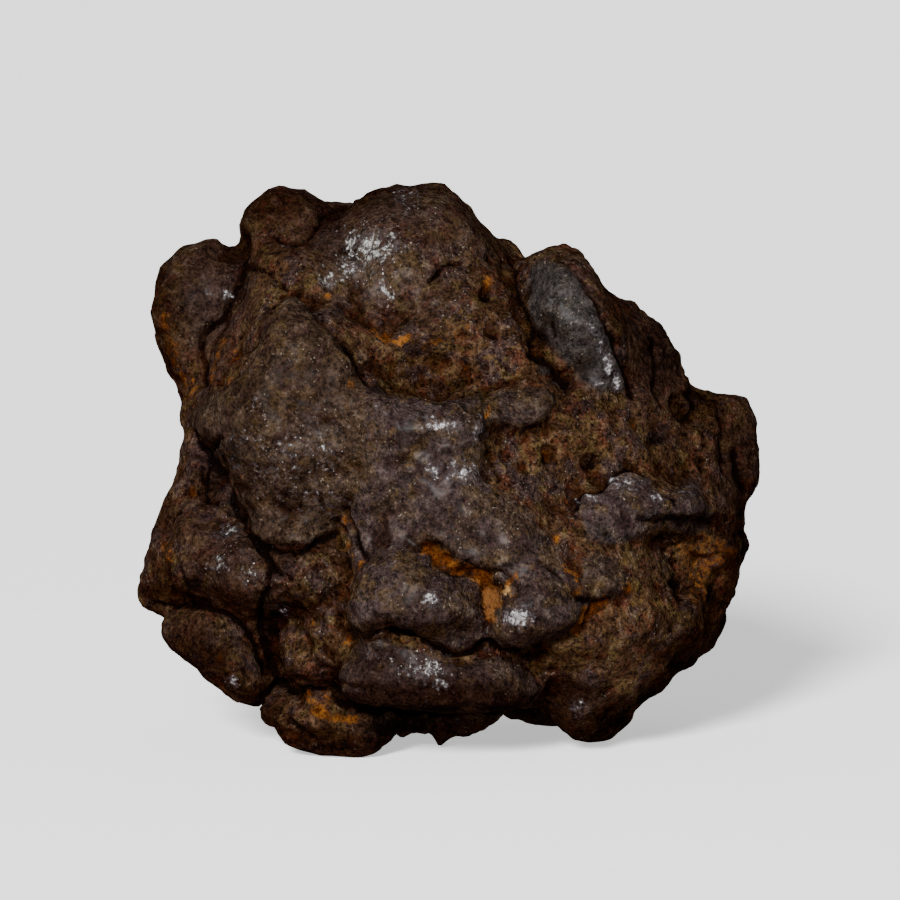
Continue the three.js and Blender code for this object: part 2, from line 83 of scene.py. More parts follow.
# The stone itself: one lump of iron whose skin melted and ran on its way down, with crust lying
# in lobed sheets over a pitted body that has rusted since. Its skin is the part's own, divided
# finer and rounded twice, and every form below is then pressed into it or raised out of it.
def rounded(places, faces):
    """One round of Loop subdivision: each triangle becomes four, and its corners are eased."""
    corners = np.stack([faces, np.roll(faces, -1, 1), np.roll(faces, -2, 1)], 2).reshape(-1, 3)
    ends, edge_of = np.unique(np.sort(corners[:, :2], 1), axis=0, return_inverse=True)
    edge_of = edge_of.reshape(-1)
    across = np.zeros((len(ends), 3))
    np.add.at(across, edge_of, places[corners[:, 2]])
    middles = 0.375 * places[ends].sum(1) + 0.125 * across
    count = np.bincount(ends.ravel(), minlength=len(places))[:, None]
    around = np.zeros_like(places)
    np.add.at(around, ends[:, 0], places[ends[:, 1]])
    np.add.at(around, ends[:, 1], places[ends[:, 0]])
    share = np.where(count == 3, 3 / 16, 3 / 8 / count)
    eased = places * (1 - count * share) + around * share
    a, b, c = faces.T
    ab, bc, ca = (edge_of.reshape(-1, 3) + len(places)).T
    quarters = [(a, ab, ca), (b, bc, ab), (c, ca, bc), (ab, bc, ca)]
    return np.vstack([eased, middles]), np.vstack([np.stack(q, 1) for q in quarters])


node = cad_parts["meteorite"]
node.data.calc_loop_triangles()
places = np.array([v.co for v in node.data.vertices]) * 1000
faces = np.array([t.vertices for t in node.data.loop_triangles])
places, first = np.unique(places.round(3), axis=0, return_inverse=True)
faces = first.reshape(-1)[faces]
faces = faces[(faces != np.roll(faces, 1, 1)).all(1)]
for _ in range(2):
    places, faces = rounded(places, faces)


def step(low, high, value):
    """From 0 at low to 1 at high, easing at both ends"""
    t = np.clip((value - low) / (high - low), 0, 1)
    return t * t * (3 - 2 * t)


def outward(places):
    """Unit normals of the skin's points"""
    a, b, c = (places[faces[:, i]] for i in range(3))
    across = np.cross(b - a, c - a)
    total = np.zeros_like(places)
    for i in range(3):
        np.add.at(total, faces[:, i], across)
    return total / np.linalg.norm(total, axis=1, keepdims=True)


# The crust's sheets: how grey each is, how deeply its edge is undercut, and where it ends, the
# same as in the solid: [x, z] on the face and how wide the shoulder is there
SHEETS = [
    # left slab
    (0.15, 1, [
        (-22.3, 68.2, 1.4), (-19.2, 64.4, 1.2), (-15.6, 60.8, 1.2), (-13.2, 56.6, 1.3),
        (-10, 51, 2), (-10, 44, 4), (-12, 36.6, 4), (-17, 33.4, 2.4), (-22.6, 30.8, 2),
        (-28, 31.8, 1.5), (-31, 37, 1.3), (-33, 42.4, 1.3), (-37, 46.8, 1.5), (-39.4, 50, 2.5),
        (-37, 52.6, 4.5), (-32.6, 55, 5), (-29.2, 60.2, 4.5), (-26.2, 65.8, 2.5),
    ]),
    # middle sheet, which ends below in two paws
    (0.8, 1, [
        (-12.9, 54.8, 1.3), (-7.5, 53.2, 1.3), (-1.5, 52.4, 1.3), (3, 53.6, 1.5), (5.6, 53.4, 1.8),
        (6.4, 49.8, 2.2), (6, 45.6, 3.5), (5.2, 42.6, 5), (7, 39.4, 6), (11.2, 36.6, 6),
        (15.6, 31.6, 5), (20, 25, 2.4), (20.4, 22, 1.5), (17.4, 19.2, 1.2), (12, 17, 1.2),
        (7.4, 16.6, 1.2), (5.4, 17.8, 1.2), (2.2, 16.2, 1.2), (-1.8, 16.8, 1.2), (-5.6, 19.2, 1.2),
        (-9.8, 19.6, 1.2), (-12.6, 17.2, 1.4), (-15, 18.8, 1.4), (-15.6, 22.4, 1.6), (-14, 26, 1.8),
        (-15.2, 30.8, 2.2), (-16, 37, 4), (-16, 46.4, 4),
    ]),
    # small tongue right of the middle sheet
    (0.6, 0.15, [
        (4, 53, 2), (10.2, 54.6, 1.8), (14, 54.4, 1.5), (15.6, 52.4, 1.4), (13.6, 49.8, 1.4),
        (9.4, 48.6, 1.6), (4, 50, 2),
    ]),
    # long ledge under the paws
    (0.75, 1, [
        (-14, 17, 1.6), (-9.8, 17.8, 1.4), (-5.6, 16.8, 1.4), (-1.6, 14.8, 1.4), (2.4, 14.4, 1.4),
        (6, 15.2, 1.6), (10.6, 13.8, 2.5), (14, 10.6, 4.5), (13.6, 7.6, 3.5), (8.4, 7, 1.6),
        (0, 6.7, 1.2), (-8, 7.2, 1.2), (-15, 8, 1.4), (-16.6, 11, 2.2), (-15.4, 14, 2),
    ]),
    # peaked ledge at the right
    (0.9, 0.35, [
        (18.8, 37, 1.6), (19.8, 39.2, 1.3), (22.4, 39.8, 1.3), (24.4, 42, 1.2), (26.6, 42.8, 1.2),
        (29, 42, 1.2), (31, 39.8, 1.3), (33.4, 38.2, 1.5), (35.4, 40.2, 1.4), (37.6, 39.4, 1.5),
        (38.6, 36.4, 1.8), (37, 33.6, 1.6), (32, 33.4, 2.5), (26, 31, 5), (20, 32, 6),
    ]),
    # small raised lump below the peaked ledge
    (0.5, 0.3, [
        (19, 29.6, 2.4), (22.4, 30.2, 2), (25.4, 28, 1.8), (25, 24.4, 1.5), (22.4, 22.8, 1.2),
        (19.6, 24, 1.4),
    ]),
]

# Fine creases where one lobe of melt stops against the next: half width, depth, then [x, z]
# points as they are seen on the face
FINE_CREASES = [
    (0.35, 0.7, [(-26.7, 77.4), (-25.2, 76.6), (-23.2, 76.5), (-21.3, 77.1), (-19.8, 78.9),
        (-18.6, 80.8), (-16.5, 81.5), (-15, 82.3)]),
    (0.45, 0.8, [(-22.2, 69.3), (-24.3, 69), (-25.9, 68.1), (-27, 66)]),
    (0.45, 1, [(-31.2, 74.1), (-31.5, 71.4), (-32.7, 68.4), (-34, 65.4), (-37, 62.7),
        (-37.4, 59.1), (-36.6, 55.2)]),
    (0.4, 0.9, [(-28.9, 63.3), (-29.7, 61.5), (-31.5, 60), (-33.1, 57.9), (-34.9, 55.4)]),
    (0.35, 0.6, [(-29.2, 61), (-29.7, 59.1), (-31.8, 56.7), (-34.4, 54.9)]),
    (0.35, 0.6, [(-31.5, 73.5), (-30.6, 72.6), (-28.2, 72.3), (-26.1, 70.8), (-24, 69.6)]),
    (0.4, 0.7, [(-3, 70.5), (-1.9, 72), (-0.6, 73.2), (1.5, 73.5)]),
    (0.4, 0.6, [(-11.2, 57), (-8.2, 55.2), (-4.5, 54), (-0.8, 52.8), (1.8, 53.4)]),
    (0.4, 0.8, [(9.3, 73.5), (9.9, 69.3), (11.1, 66), (12.3, 63.3), (12.4, 61)]),
    (0.35, 0.9, [(12.4, 60), (14.2, 58.5), (15.9, 57), (17.4, 55.2)]),
    (0.4, 0.8, [(16.5, 74.1), (18.9, 72.3), (21.3, 69), (23.1, 65.1), (24.9, 61), (26.4, 57),
        (27.6, 53.4)]),
    (0.35, 0.6, [(30.3, 62.5), (30.6, 58.8), (30.9, 55), (31.8, 52)]),
    (0.35, 0.5, [(32.7, 60.3), (34.5, 57.9), (36, 55.2), (36.6, 53.1)]),
    (0.35, 0.7, [(33.6, 53.1), (33.9, 51.3), (35.1, 50.1), (36.3, 51), (36.6, 52.8),
        (35.4, 53.9), (33.9, 53.4)]),
    (0.35, 0.7, [(37.8, 48), (38.4, 45.3), (38.1, 42.3)]),
    (0.3, 0.6, [(39.9, 48.6), (40.5, 45.6), (40.8, 42.3)]),
    (0.4, 1.1, [(42.8, 45), (42.9, 42.9), (43.5, 40.8), (44.1, 39.3)]),
    (0.5, 0.7, [(-22.4, 68.7), (-19.2, 64.8), (-15.6, 61.2), (-13.2, 57.2), (-12, 55.2)]),
    (0.35, 0.6, [(15.4, 67.8), (14.7, 64.8), (15.4, 62.1)]),
    (0.4, 0.8, [(18.8, 37), (19.8, 39), (22.5, 39.4), (23.7, 41.4), (26.4, 42.6), (28.8, 42),
        (30.9, 39.8), (33.3, 38.1), (33.9, 37)]),
    (0.5, 0.4, [(28.5, 34.8), (31.5, 34.5), (36, 34.6), (38.2, 33.9)]),
    (0.4, 0.3, [(34.5, 33.9), (32.7, 30.6), (32.1, 27.3), (34.2, 22.8)]),
    (0.4, 0.4, [(43.5, 33.3), (41.4, 28.8), (39.3, 25.2), (37.8, 21.9)]),
    (0.35, 0.7, [(18.6, 24), (20.4, 22.8), (22.2, 22.5), (24.3, 23.4), (25.5, 25.5)]),
    (0.4, 0.9, [(-15.6, 36), (-14.7, 33.3), (-13.8, 30), (-12.9, 28.8)]),
    (0.4, 0.8, [(-30.3, 32.8), (-28.8, 30.3), (-27.6, 28.8), (-26.1, 26.7), (-24, 25.8)]),
    (0.35, 0.7, [(-34.8, 46.8), (-36, 43.5), (-36.9, 39.9), (-36.6, 37.8)]),
    (0.35, 0.6, [(-37.2, 43.8), (-37.5, 40.8), (-36.6, 37.8)]),
    (0.35, 0.7, [(-40.8, 36), (-42.3, 33.6), (-41.7, 30), (-40.5, 26.6), (-39, 24)]),
    (0.4, 0.9, [(-43.8, 22.3), (-40.8, 22.2), (-37.5, 21.9), (-34.8, 21), (-32.7, 20.1),
        (-30.6, 18.3), (-28.8, 15.6), (-27.9, 12)]),
    (0.45, 0.9, [(-27.3, 28.8), (-27.6, 24.3), (-28.5, 19.5), (-27.3, 15.3), (-26.1, 11.1),
        (-24, 9.3), (-20.7, 9.3)]),
    (0.4, 0.8, [(-20.7, 9.3), (-17.2, 9), (-14.7, 7.5), (-12, 6.9)]),
    (0.4, 0.7, [(-30.8, 12), (-28.8, 9.3), (-26.7, 7), (-24, 4.5), (-21, 1.5)]),
    (0.35, 0.7, [(-15.8, 24.3), (-15.6, 21), (-14.7, 16.8)]),
    (0.3, 0.5, [(-22.5, 19.8), (-21.3, 16.8), (-20.7, 13.2)]),
    (0.3, 0.5, [(-18.6, 12.6), (-16.5, 10.2), (-13.5, 9.3)]),
    (0.35, 0.6, [(-14.7, 31), (-15.8, 33.3), (-17.2, 34.5)]),
    (0.3, 0.5, [(-27.3, 31.8), (-24.9, 30.6), (-23.1, 31)]),
    (0.3, 0.5, [(-24, 30), (-22.5, 28.5), (-20.7, 27.3), (-18.6, 27.9)]),
    (0.35, 0.6, [(3, 48), (5.4, 46.8), (6.3, 44.5), (6.6, 42.3), (7.5, 40.8)]),
    (0.3, 0.2, [(-5.2, 47.5), (-1.5, 46.8), (2.7, 47.4)]),
    (0.3, 0.5, [(5.4, 54.6), (5.1, 52.5), (5.5, 49.8), (6.3, 48)]),
    (0.35, 0.8, [(-3.8, 30.6), (-2.1, 28.8), (0, 27.3), (2.7, 26.8), (4.8, 26.7), (5.4, 24.3),
        (5.7, 21), (5.7, 18.6)]),
    (0.3, 0.6, [(5.4, 26.6), (7.5, 27), (9.3, 25.8), (9.9, 24), (8.2, 22.8), (6.6, 21.9)]),
    (0.3, 0.5, [(13.5, 28.8), (15.9, 27.3), (17.4, 25.1), (18, 23.1)]),
    (0.35, 0.6, [(-9.8, 6.6), (-4.5, 5.7), (0.8, 5.1), (6.8, 5.7), (12, 6), (14.7, 5.4)]),
]


FAR = 9.0  # further from a line, in millimetres, than any form beside it reaches


def smooth_line(points, closed):
    """A Catmull-Rom line through the points, four steps to each"""
    p = np.array(points, float)
    p = np.vstack([p[-1:], p, p[:2]]) if closed else np.vstack([p[:1], p, p[-1:]])
    t = np.arange(0, 1, 0.25)[:, None]
    line = [
        0.5
        * (
            2 * b
            + (c - a) * t
            + (2 * a - 5 * b + 4 * c - d) * t**2
            + (3 * b - a - 3 * c + d) * t**3
        )
        for a, b, c, d in zip(p, p[1:], p[2:], p[3:])
    ]
    return np.vstack(line + [p[-2:-1]])


def distance_to(line, x, z, reach):
    """Distance from each point to a line of [x, z, width] up to the reach, whether the point lies
    inside it, the line's width there and how far below the line it is, from -1 to 1"""
    best = np.full(len(x), float(reach))
    inside = np.zeros(len(x), bool)
    width = np.full(len(x), FAR)
    below = np.zeros(len(x))
    low, high = line[:, :2].min(0) - reach, line[:, :2].max(0) + reach
    near = (x > low[0]) & (x < high[0]) & (z > low[1]) & (z < high[1])
    px, pz = x[near], z[near]
    nearest, within, wide, under = best[near], inside[near], width[near], below[near]
    for (ax, az, aw), (bx, bz, bw) in zip(line[:-1], line[1:]):
        ex, ez = bx - ax, bz - az
        length = ex * ex + ez * ez
        if length == 0:
            continue
        t = np.clip(((px - ax) * ex + (pz - az) * ez) / length, 0, 1)
        off_z = pz - az - t * ez
        off = np.hypot(px - ax - t * ex, off_z)
        closer = off < nearest
        nearest = np.where(closer, off, nearest)
        wide = np.where(closer, aw + t * (bw - aw), wide)
        under = np.where(closer, -off_z / np.maximum(off, 1e-6), under)
        if ez:
            within ^= ((az > pz) != (bz > pz)) & (px < ax + (pz - az) / ez * ex)
    best[near], inside[near], width[near], below[near] = nearest, within, wide, under
    return best, inside, width, below


def divided(places, faces, chosen):
    """Splits the edges that `chosen` picks from [end, end] rows, and the triangles beside them"""
    corners = np.stack([faces, np.roll(faces, -1, 1)], 2).reshape(-1, 2)
    ends, edge_of = np.unique(np.sort(corners, 1), axis=0, return_inverse=True)
    split = chosen(ends)
    middle_of = np.where(split, len(places) + np.cumsum(split) - 1, -1)
    middles = middle_of[edge_of.reshape(-1, 3)]
    count = (middles >= 0).sum(1)
    parts = [faces[count == 0]]
    patterns = (
        (1, [(0, 3, 2), (3, 1, 2)]),
        (2, [(0, 3, 4), (3, 1, 4), (0, 4, 2)]),
        (3, [(0, 3, 5), (1, 4, 3), (2, 5, 4), (3, 4, 5)]),
    )
    for number, pieces in patterns:
        corner, middle = faces[count == number], middles[count == number]
        start = (middle >= 0).argmax(1) if number == 1 else (middle < 0).argmax(1) + 1
        order = (start[:, None] + np.arange(3)) % 3
        turned = [np.take_along_axis(corner, order, 1), np.take_along_axis(middle, order, 1)]
        points = np.hstack(turned)
        parts += [points[:, piece] for piece in pieces]
    return np.vstack([places, places[ends[split]].mean(1)]), np.vstack(parts)


MOST_TRIANGLES = 197000
DETAIL_REACH, DETAIL_FRONT = 1.1, 6  # how near to a line, and how far forward, the skin is finest


def beside_lines(ends):
    """The longest edges that lie beside a sheet's edge or a crease on the face"""
    middle = (places[ends].mean(1) + SHIFT) @ TURN.T
    near = VIEW_DISTANCE / (VIEW_DISTANCE + middle[:, 1])
    seen = middle[:, 0] * near, VIEW_HEIGHT + (middle[:, 2] - VIEW_HEIGHT) * near
    off = np.full(len(ends), DETAIL_REACH)
    for *_, outline in SHEETS:
        line = smooth_line(outline, True)
        off = np.minimum(off, distance_to(line, middle[:, 0], middle[:, 2], DETAIL_REACH)[0])
    for half_width, _, points in FINE_CREASES:
        line = smooth_line([(*point, half_width) for point in points], False)
        off = np.minimum(off, distance_to(line, *seen, DETAIL_REACH)[0])
    length = np.linalg.norm(np.diff(places[ends], axis=1)[:, 0], axis=1)
    length[(off >= DETAIL_REACH) | (middle[:, 1] > DETAIL_FRONT)] = 0
    return length > np.sort(length)[-((MOST_TRIANGLES - len(faces)) // 2)]


places, faces = divided(places, faces, beside_lines)

normals = outward(places)
face_places = (places + SHIFT) @ TURN.T
nearness = VIEW_DISTANCE / (VIEW_DISTANCE + face_places[:, 1])
seen_x = face_places[:, 0] * nearness
seen_z = VIEW_HEIGHT + (face_places[:, 2] - VIEW_HEIGHT) * nearness
facing = -(normals @ TURN.T)[:, 1]
FRONT_ENDS, BACK_STARTS = 6, 14  # the face's own forms fade out between these depths
front = step(BACK_STARTS, FRONT_ENDS, face_places[:, 1])
shown = front * step(-0.1, 0.2, facing)

unworked = places  # the skin before anything is pressed into it


def ripple(size, seed):
    """Rounded noise over the skin, from about -1 to 1, in waves of the given size. Each seed
    gives another noise."""
    moved = unworked / size + seed * np.array([3.7, -1.9, 2.3])
    return np.array([noise.noise(p) for p in moved.tolist()])


# Each sheet ends in a low lip, with a foot cut in below it
LIP_HEIGHT, LIP_WIDTH = 0.28, 0.7
FOOT_DEPTH, FOOT_WIDTH = 1.1, 0.6

# The face's own places, shaken a little so that no drawn line looks drawn
fx = face_places[:, 0] + 0.6 * ripple(3.2, 1) + 0.34 * ripple(1.4, 2)
fz = face_places[:, 2] + 0.6 * ripple(3.2, 3) + 0.34 * ripple(1.4, 4)
sheet_depth = np.full(len(places), -FAR)
shoulder = np.full(len(places), FAR)
overhang = np.zeros(len(places))
sheet_grey = np.zeros(len(places))
undercut = np.zeros(len(places))
for grey_share, edge_share, outline in SHEETS:
    off, inside, width, below = distance_to(smooth_line(outline, True), fx, fz, FAR)
    depth = np.where(inside, off, -off)
    deeper = depth > sheet_depth
    sheet_depth = np.where(deeper, depth, sheet_depth)
    shoulder = np.where(deeper, width, shoulder)
    overhang = np.where(deeper, below, overhang)
    sheet_grey = np.where(deeper, grey_share, sheet_grey)
    undercut = np.where(deeper, edge_share, undercut)
crisp = step(4, 1.4, shoulder)
lip = crisp * np.exp(-(((sheet_depth - LIP_WIDTH) / LIP_WIDTH) ** 2))
foot = crisp * np.exp(-(((sheet_depth + FOOT_WIDTH) / FOOT_WIDTH) ** 2))
foot *= undercut * np.clip(0.5 + 0.6 * overhang, 0.12, 1)
relief = front * (LIP_HEIGHT * lip - FOOT_DEPTH * foot)

# Creases, facets and most colours are placed as they are seen, and shaken in the same way
creases = np.zeros(len(places))
sx = seen_x + 0.3 * ripple(1.9, 5)
sz = seen_z + 0.3 * ripple(1.9, 6)
for half_width, depth, points in FINE_CREASES:
    line = smooth_line([(*point, half_width) for point in points], False)
    off = distance_to(line, sx, sz, 4 * half_width)[0]
    creases = np.maximum(creases, depth * np.exp(-((off / (1.3 * half_width)) ** 2)))
relief -= shown * creases


SPOT_FADE = 0.7  # so that a spot has half of its strength left at its half width


def spots(rows, x=seen_x, z=seen_z):
    """How strongly each point is covered by spots: [x, z] as seen, half width, half height,
    strength"""
    total = np.zeros(len(x))
    for at_x, at_z, half_width, half_height, strength in rows:
        off = ((x - at_x) / half_width) ** 2 + ((z - at_z) / half_height) ** 2
        total = np.maximum(total, strength * np.exp(-SPOT_FADE * off))
    return total * shown


# Smooth lobes that no sheet covers, and how grey each is
SMOOTH_SKIN = [
    (18, 67.8, 5.2, 6, 1, 1), (21.6, 60.5, 3, 6, 1, 1), (-7.5, 82, 9, 4, 0.8, 0.6),
    (3, 78.3, 6, 6, 0.55, 0.4), (-37.5, 67.8, 6, 9, 0.85, 0), (-35.2, 15.3, 6.5, 5, 0.4, 0.3),
    (-41.2, 31.8, 2.2, 9, 0.35, 0.2), (44.2, 46.8, 3, 6, 0.45, 0.3),
    (-31.5, 28.8, 6.5, 6, 0.5, 0.6), (-21, 28.8, 6.5, 4.5, 0.5, 0.5), (36, 39.6, 2.7, 2, 0.9, 0.8),
    (19.5, 7, 4, 4.5, 0.6, 0.7), (28.5, 16.8, 7.5, 4.5, 0.35, 0.5), (28, 28.5, 6, 3.3, 0.45, 0.6),
    (-25, 80, 7, 5, 0.35, 0.2), (-12, 74, 8, 6, 0.85, 0.75), (-4, 70, 9, 8, 0.5, 0.6),
    (22.5, 26.5, 3, 3, 0.8, 0.9), (31, 60, 3.5, 7, 0.7, 0.1),
]
ragged = 0.35 * ripple(2.4, 7)
on_sheet = front * step(-0.25, 0.45, sheet_depth / np.minimum(shoulder, 3) + 0.35 * ragged)
elsewhere = step(-0.1, 0.5, ripple(11, 8) + ragged) * 0.6
smooth = spots([lobe[:5] for lobe in SMOOTH_SKIN])
grey = spots([(*lobe[:4], lobe[4] * lobe[5]) for lobe in SMOOTH_SKIN])
crust = np.clip(np.maximum(on_sheet, smooth) + (1 - front) * elsewhere, 0, 1)
grey = np.clip(np.maximum(on_sheet * sheet_grey, grey) + 0.6 * (1 - front) * elsewhere, 0, 1)

# Two facets with a plain edge: the smooth slate side of the tooth, and a rusty three-cornered one
SLATE_SIDE = [
    (12.3, 72.9), (15.9, 73.8), (19, 71), (22, 66.4), (24.6, 61.8), (26.7, 57), (25.6, 54),
    (21, 55), (17.4, 58.6), (14, 61.6), (11.9, 65.7), (11.4, 69.6),
]
RUSTY_SIDE = [
    (32.2, 32.6), (36.8, 34), (42.6, 31), (41.6, 28), (39, 25.6), (37.2, 20.8), (35, 20.8),
    (33.9, 25.8), (33, 28.8),
]
# Small blots that break up the edges of facets and stains
blot = 0.3 * ripple(1.6, 20) + 0.2 * ripple(0.7, 21)


def facet(outline):
    """How far a point lies within the outline, from 0 outside to 1 well inside"""
    off, inside, *_ = distance_to(smooth_line([(*p, 1) for p in outline], True), sx, sz, 3)
    return shown * step(-0.5, 0.7, np.where(inside, off, -off) + 0.8 * blot)


slate_side = facet(SLATE_SIDE)
rusty_side = facet(RUSTY_SIDE)
crust = np.maximum(crust, slate_side)
RUSTY_SIDE_RISE = 1.8
relief += RUSTY_SIDE_RISE * rusty_side

# Smooth crust is softly dimpled, and the bare body between is gritty, with low ridges
dimples = 0.5 * ripple(4.6, 9) + 0.36 * ripple(2.1, 10) + 0.12 * ripple(1.2, 26)
grit = 0.42 * ripple(2.5, 11) + 0.42 * np.abs(ripple(1.7, 12)) + 0.1 * ripple(1.1, 13)
ridges = 0.3 - 1.5 * np.abs(ripple(6.5, 27)) - 0.6 * np.abs(ripple(3.1, 28))
relief += crust * dimples + (1 - crust) * (grit + ridges)

# The lower left is craggier than the rest: [x, z], half width, half height, strength
CRAGS = [(-34, 31, 7, 8, 1), (-27, 24, 5, 5, 0.8), (-21, 30, 5, 3, 0.4), (-22, 14, 4, 6, 0.5)]
crags = 1.1 * np.abs(ripple(3, 31)) + 0.7 * np.abs(ripple(1.6, 32)) - 0.5
relief += spots(CRAGS) * crags

# Small knobs and dents of the skin: [x, z], half width, half height, height
KNOBS = [
    (-28.6, 7.6, 2.6, 2.8, 2.4), (-7.8, 2.2, 0.9, 1, 1.3), (-1.2, 2.9, 0.9, 1, 1.2),
    (-42.9, 22.6, 1.6, 1.6, 0.5), (43.6, 38, 1.2, 2, 0.5), (-42, 53, 2, 3.4, -1.4),
    (-32.6, 76.6, 2, 2.2, -2.2), (-39.8, 12.4, 3, 2, -1.3), (34.5, 10, 4, 3, -1.3),
    (33.2, 24, 1.5, 2.6, 1.3), (38.4, 23.6, 1.4, 2.4, 0.8),
]
KNOB_FADE = 0.9
for x, z, half_width, half_height, height in KNOBS:
    off = ((fx - x) / half_width) ** 2 + ((fz - z) / half_height) ** 2
    relief += height * front * np.exp(-KNOB_FADE * off)

# Round the sides and back, where nothing is drawn, the melt left shallow thumbprints with soft
# rims between them
THUMBPRINT = 9
RIM_SHARE = 0.55  # how far a rim reaches into a print, as a share of the print's size
RIM_HEIGHT, DIP = 0.9, 0.35
cells = [noise.voronoi(p)[0] for p in (places / THUMBPRINT).tolist()]
gap = np.array([second - first for first, second, *_ in cells])
relief += (1 - front) * (RIM_HEIGHT * (1 - step(0, RIM_SHARE, gap)) - DIP)

# Named pits, deeper than the grit: [x, z], half width, half height, depth
PITS = [
    (5.7, 69, 0.6, 0.6, 1.4), (6, 62.5, 0.6, 0.5, 0.7), (14.7, 43.9, 0.6, 0.5, 0.7),
    (21, 43, 0.9, 0.5, 0.5), (30.8, 46.6, 1.2, 0.7, 0.5), (35.4, 47.9, 0.7, 0.5, 0.5),
    (-2, 30.6, 0.7, 0.7, 0.9), (-0.5, 28.9, 0.8, 0.5, 0.6), (33.6, 23.6, 0.9, 1.6, 0.3),
    (38.6, 23.8, 0.8, 1.2, 0.5), (-19.6, 67.6, 0.8, 0.6, 0.8), (-22, 8.4, 1.6, 0.9, 1),
    (-19.4, 6.6, 1.2, 1.1, 0.8), (35.2, 52, 0.8, 1, 0.8), (-39, 39, 0.8, 0.9, 0.5),
    (-14.9, 55, 0.9, 0.9, 0.4), (-9.4, 62.4, 1.4, 0.9, 0.5), (20.6, 20.6, 1.6, 0.8, 0.4),
    (6.1, 23.3, 1, 1.5, 0.5), (3, 27, 3, 0.7, 0.4), (14.2, 15.2, 1.2, 0.9, 0.4),
]
relief -= sum(spots([pit]) for pit in PITS)

# Small pits scattered all over, shallow in the smooth crust
PIT_COUNT, PIT_REACH, PIT_FADE = 900, 1.6, 1.6
chance = np.random.default_rng(7)
centres = chance.choice(len(places), PIT_COUNT, replace=False)
radii = chance.uniform(0.5, 1.3, PIT_COUNT)
depths = radii * chance.uniform(0.15, 0.4, PIT_COUNT) * (1 - 0.85 * crust[centres])
tree = KDTree(len(places))
for i, p in enumerate(places.tolist()):
    tree.insert(p, i)
tree.balance()
scattered = np.zeros(len(places))
for centre, radius, depth in zip(centres, radii, depths):
    for _, i, off in tree.find_range(places[centre], PIT_REACH * radius):
        scattered[i] = max(scattered[i], depth * math.exp(-((off / radius) ** 2) * PIT_FADE))
relief -= scattered

# The worn flats that it stands on stay as they are, and the relief grows in above them
FLATS_TOP, RELIEF_FULL = 0.2, 1.6
relief *= step(FLATS_TOP, RELIEF_FULL, places[:, 2])
places = places + normals * relief[:, None]
places[:, 2] = np.maximum(places[:, 2], 0)


def evened(values, rounds):
    """Values smoothed over the skin by averaging with the neighbours"""
    ends = np.unique(np.sort(np.vstack([faces[:, :2], faces[:, 1:], faces[:, ::2]]), 1), axis=0)
    count = np.bincount(ends.ravel(), minlength=len(values))
    for _ in range(rounds):
        total = np.stack(
            [
                np.bincount(ends[:, 0], values[ends[:, 1], k], len(values))
                + np.bincount(ends[:, 1], values[ends[:, 0], k], len(values))
                for k in range(values.shape[1])
            ],
            1,
        )
        values = 0.4 * values + 0.6 * total / count[:, None]
    return values


SOFTENED = 0.35
places = (1 - SOFTENED) * places + SOFTENED * evened(places, 1)
normals = outward(places)
fine_hollow = ((evened(places, 4) - places) * normals).sum(1)
broad_hollow = ((evened(places, 60) - places) * normals).sum(1)

mesh = bpy.data.meshes.new("meteorite_skin")
mesh.from_pydata((places / 1000).tolist(), [], faces.tolist())
mesh.polygons.foreach_set("use_smooth", [True] * len(faces))
stone = bpy.data.objects.new("meteorite_skin", mesh)
bpy.context.scene.collection.objects.link(stone)

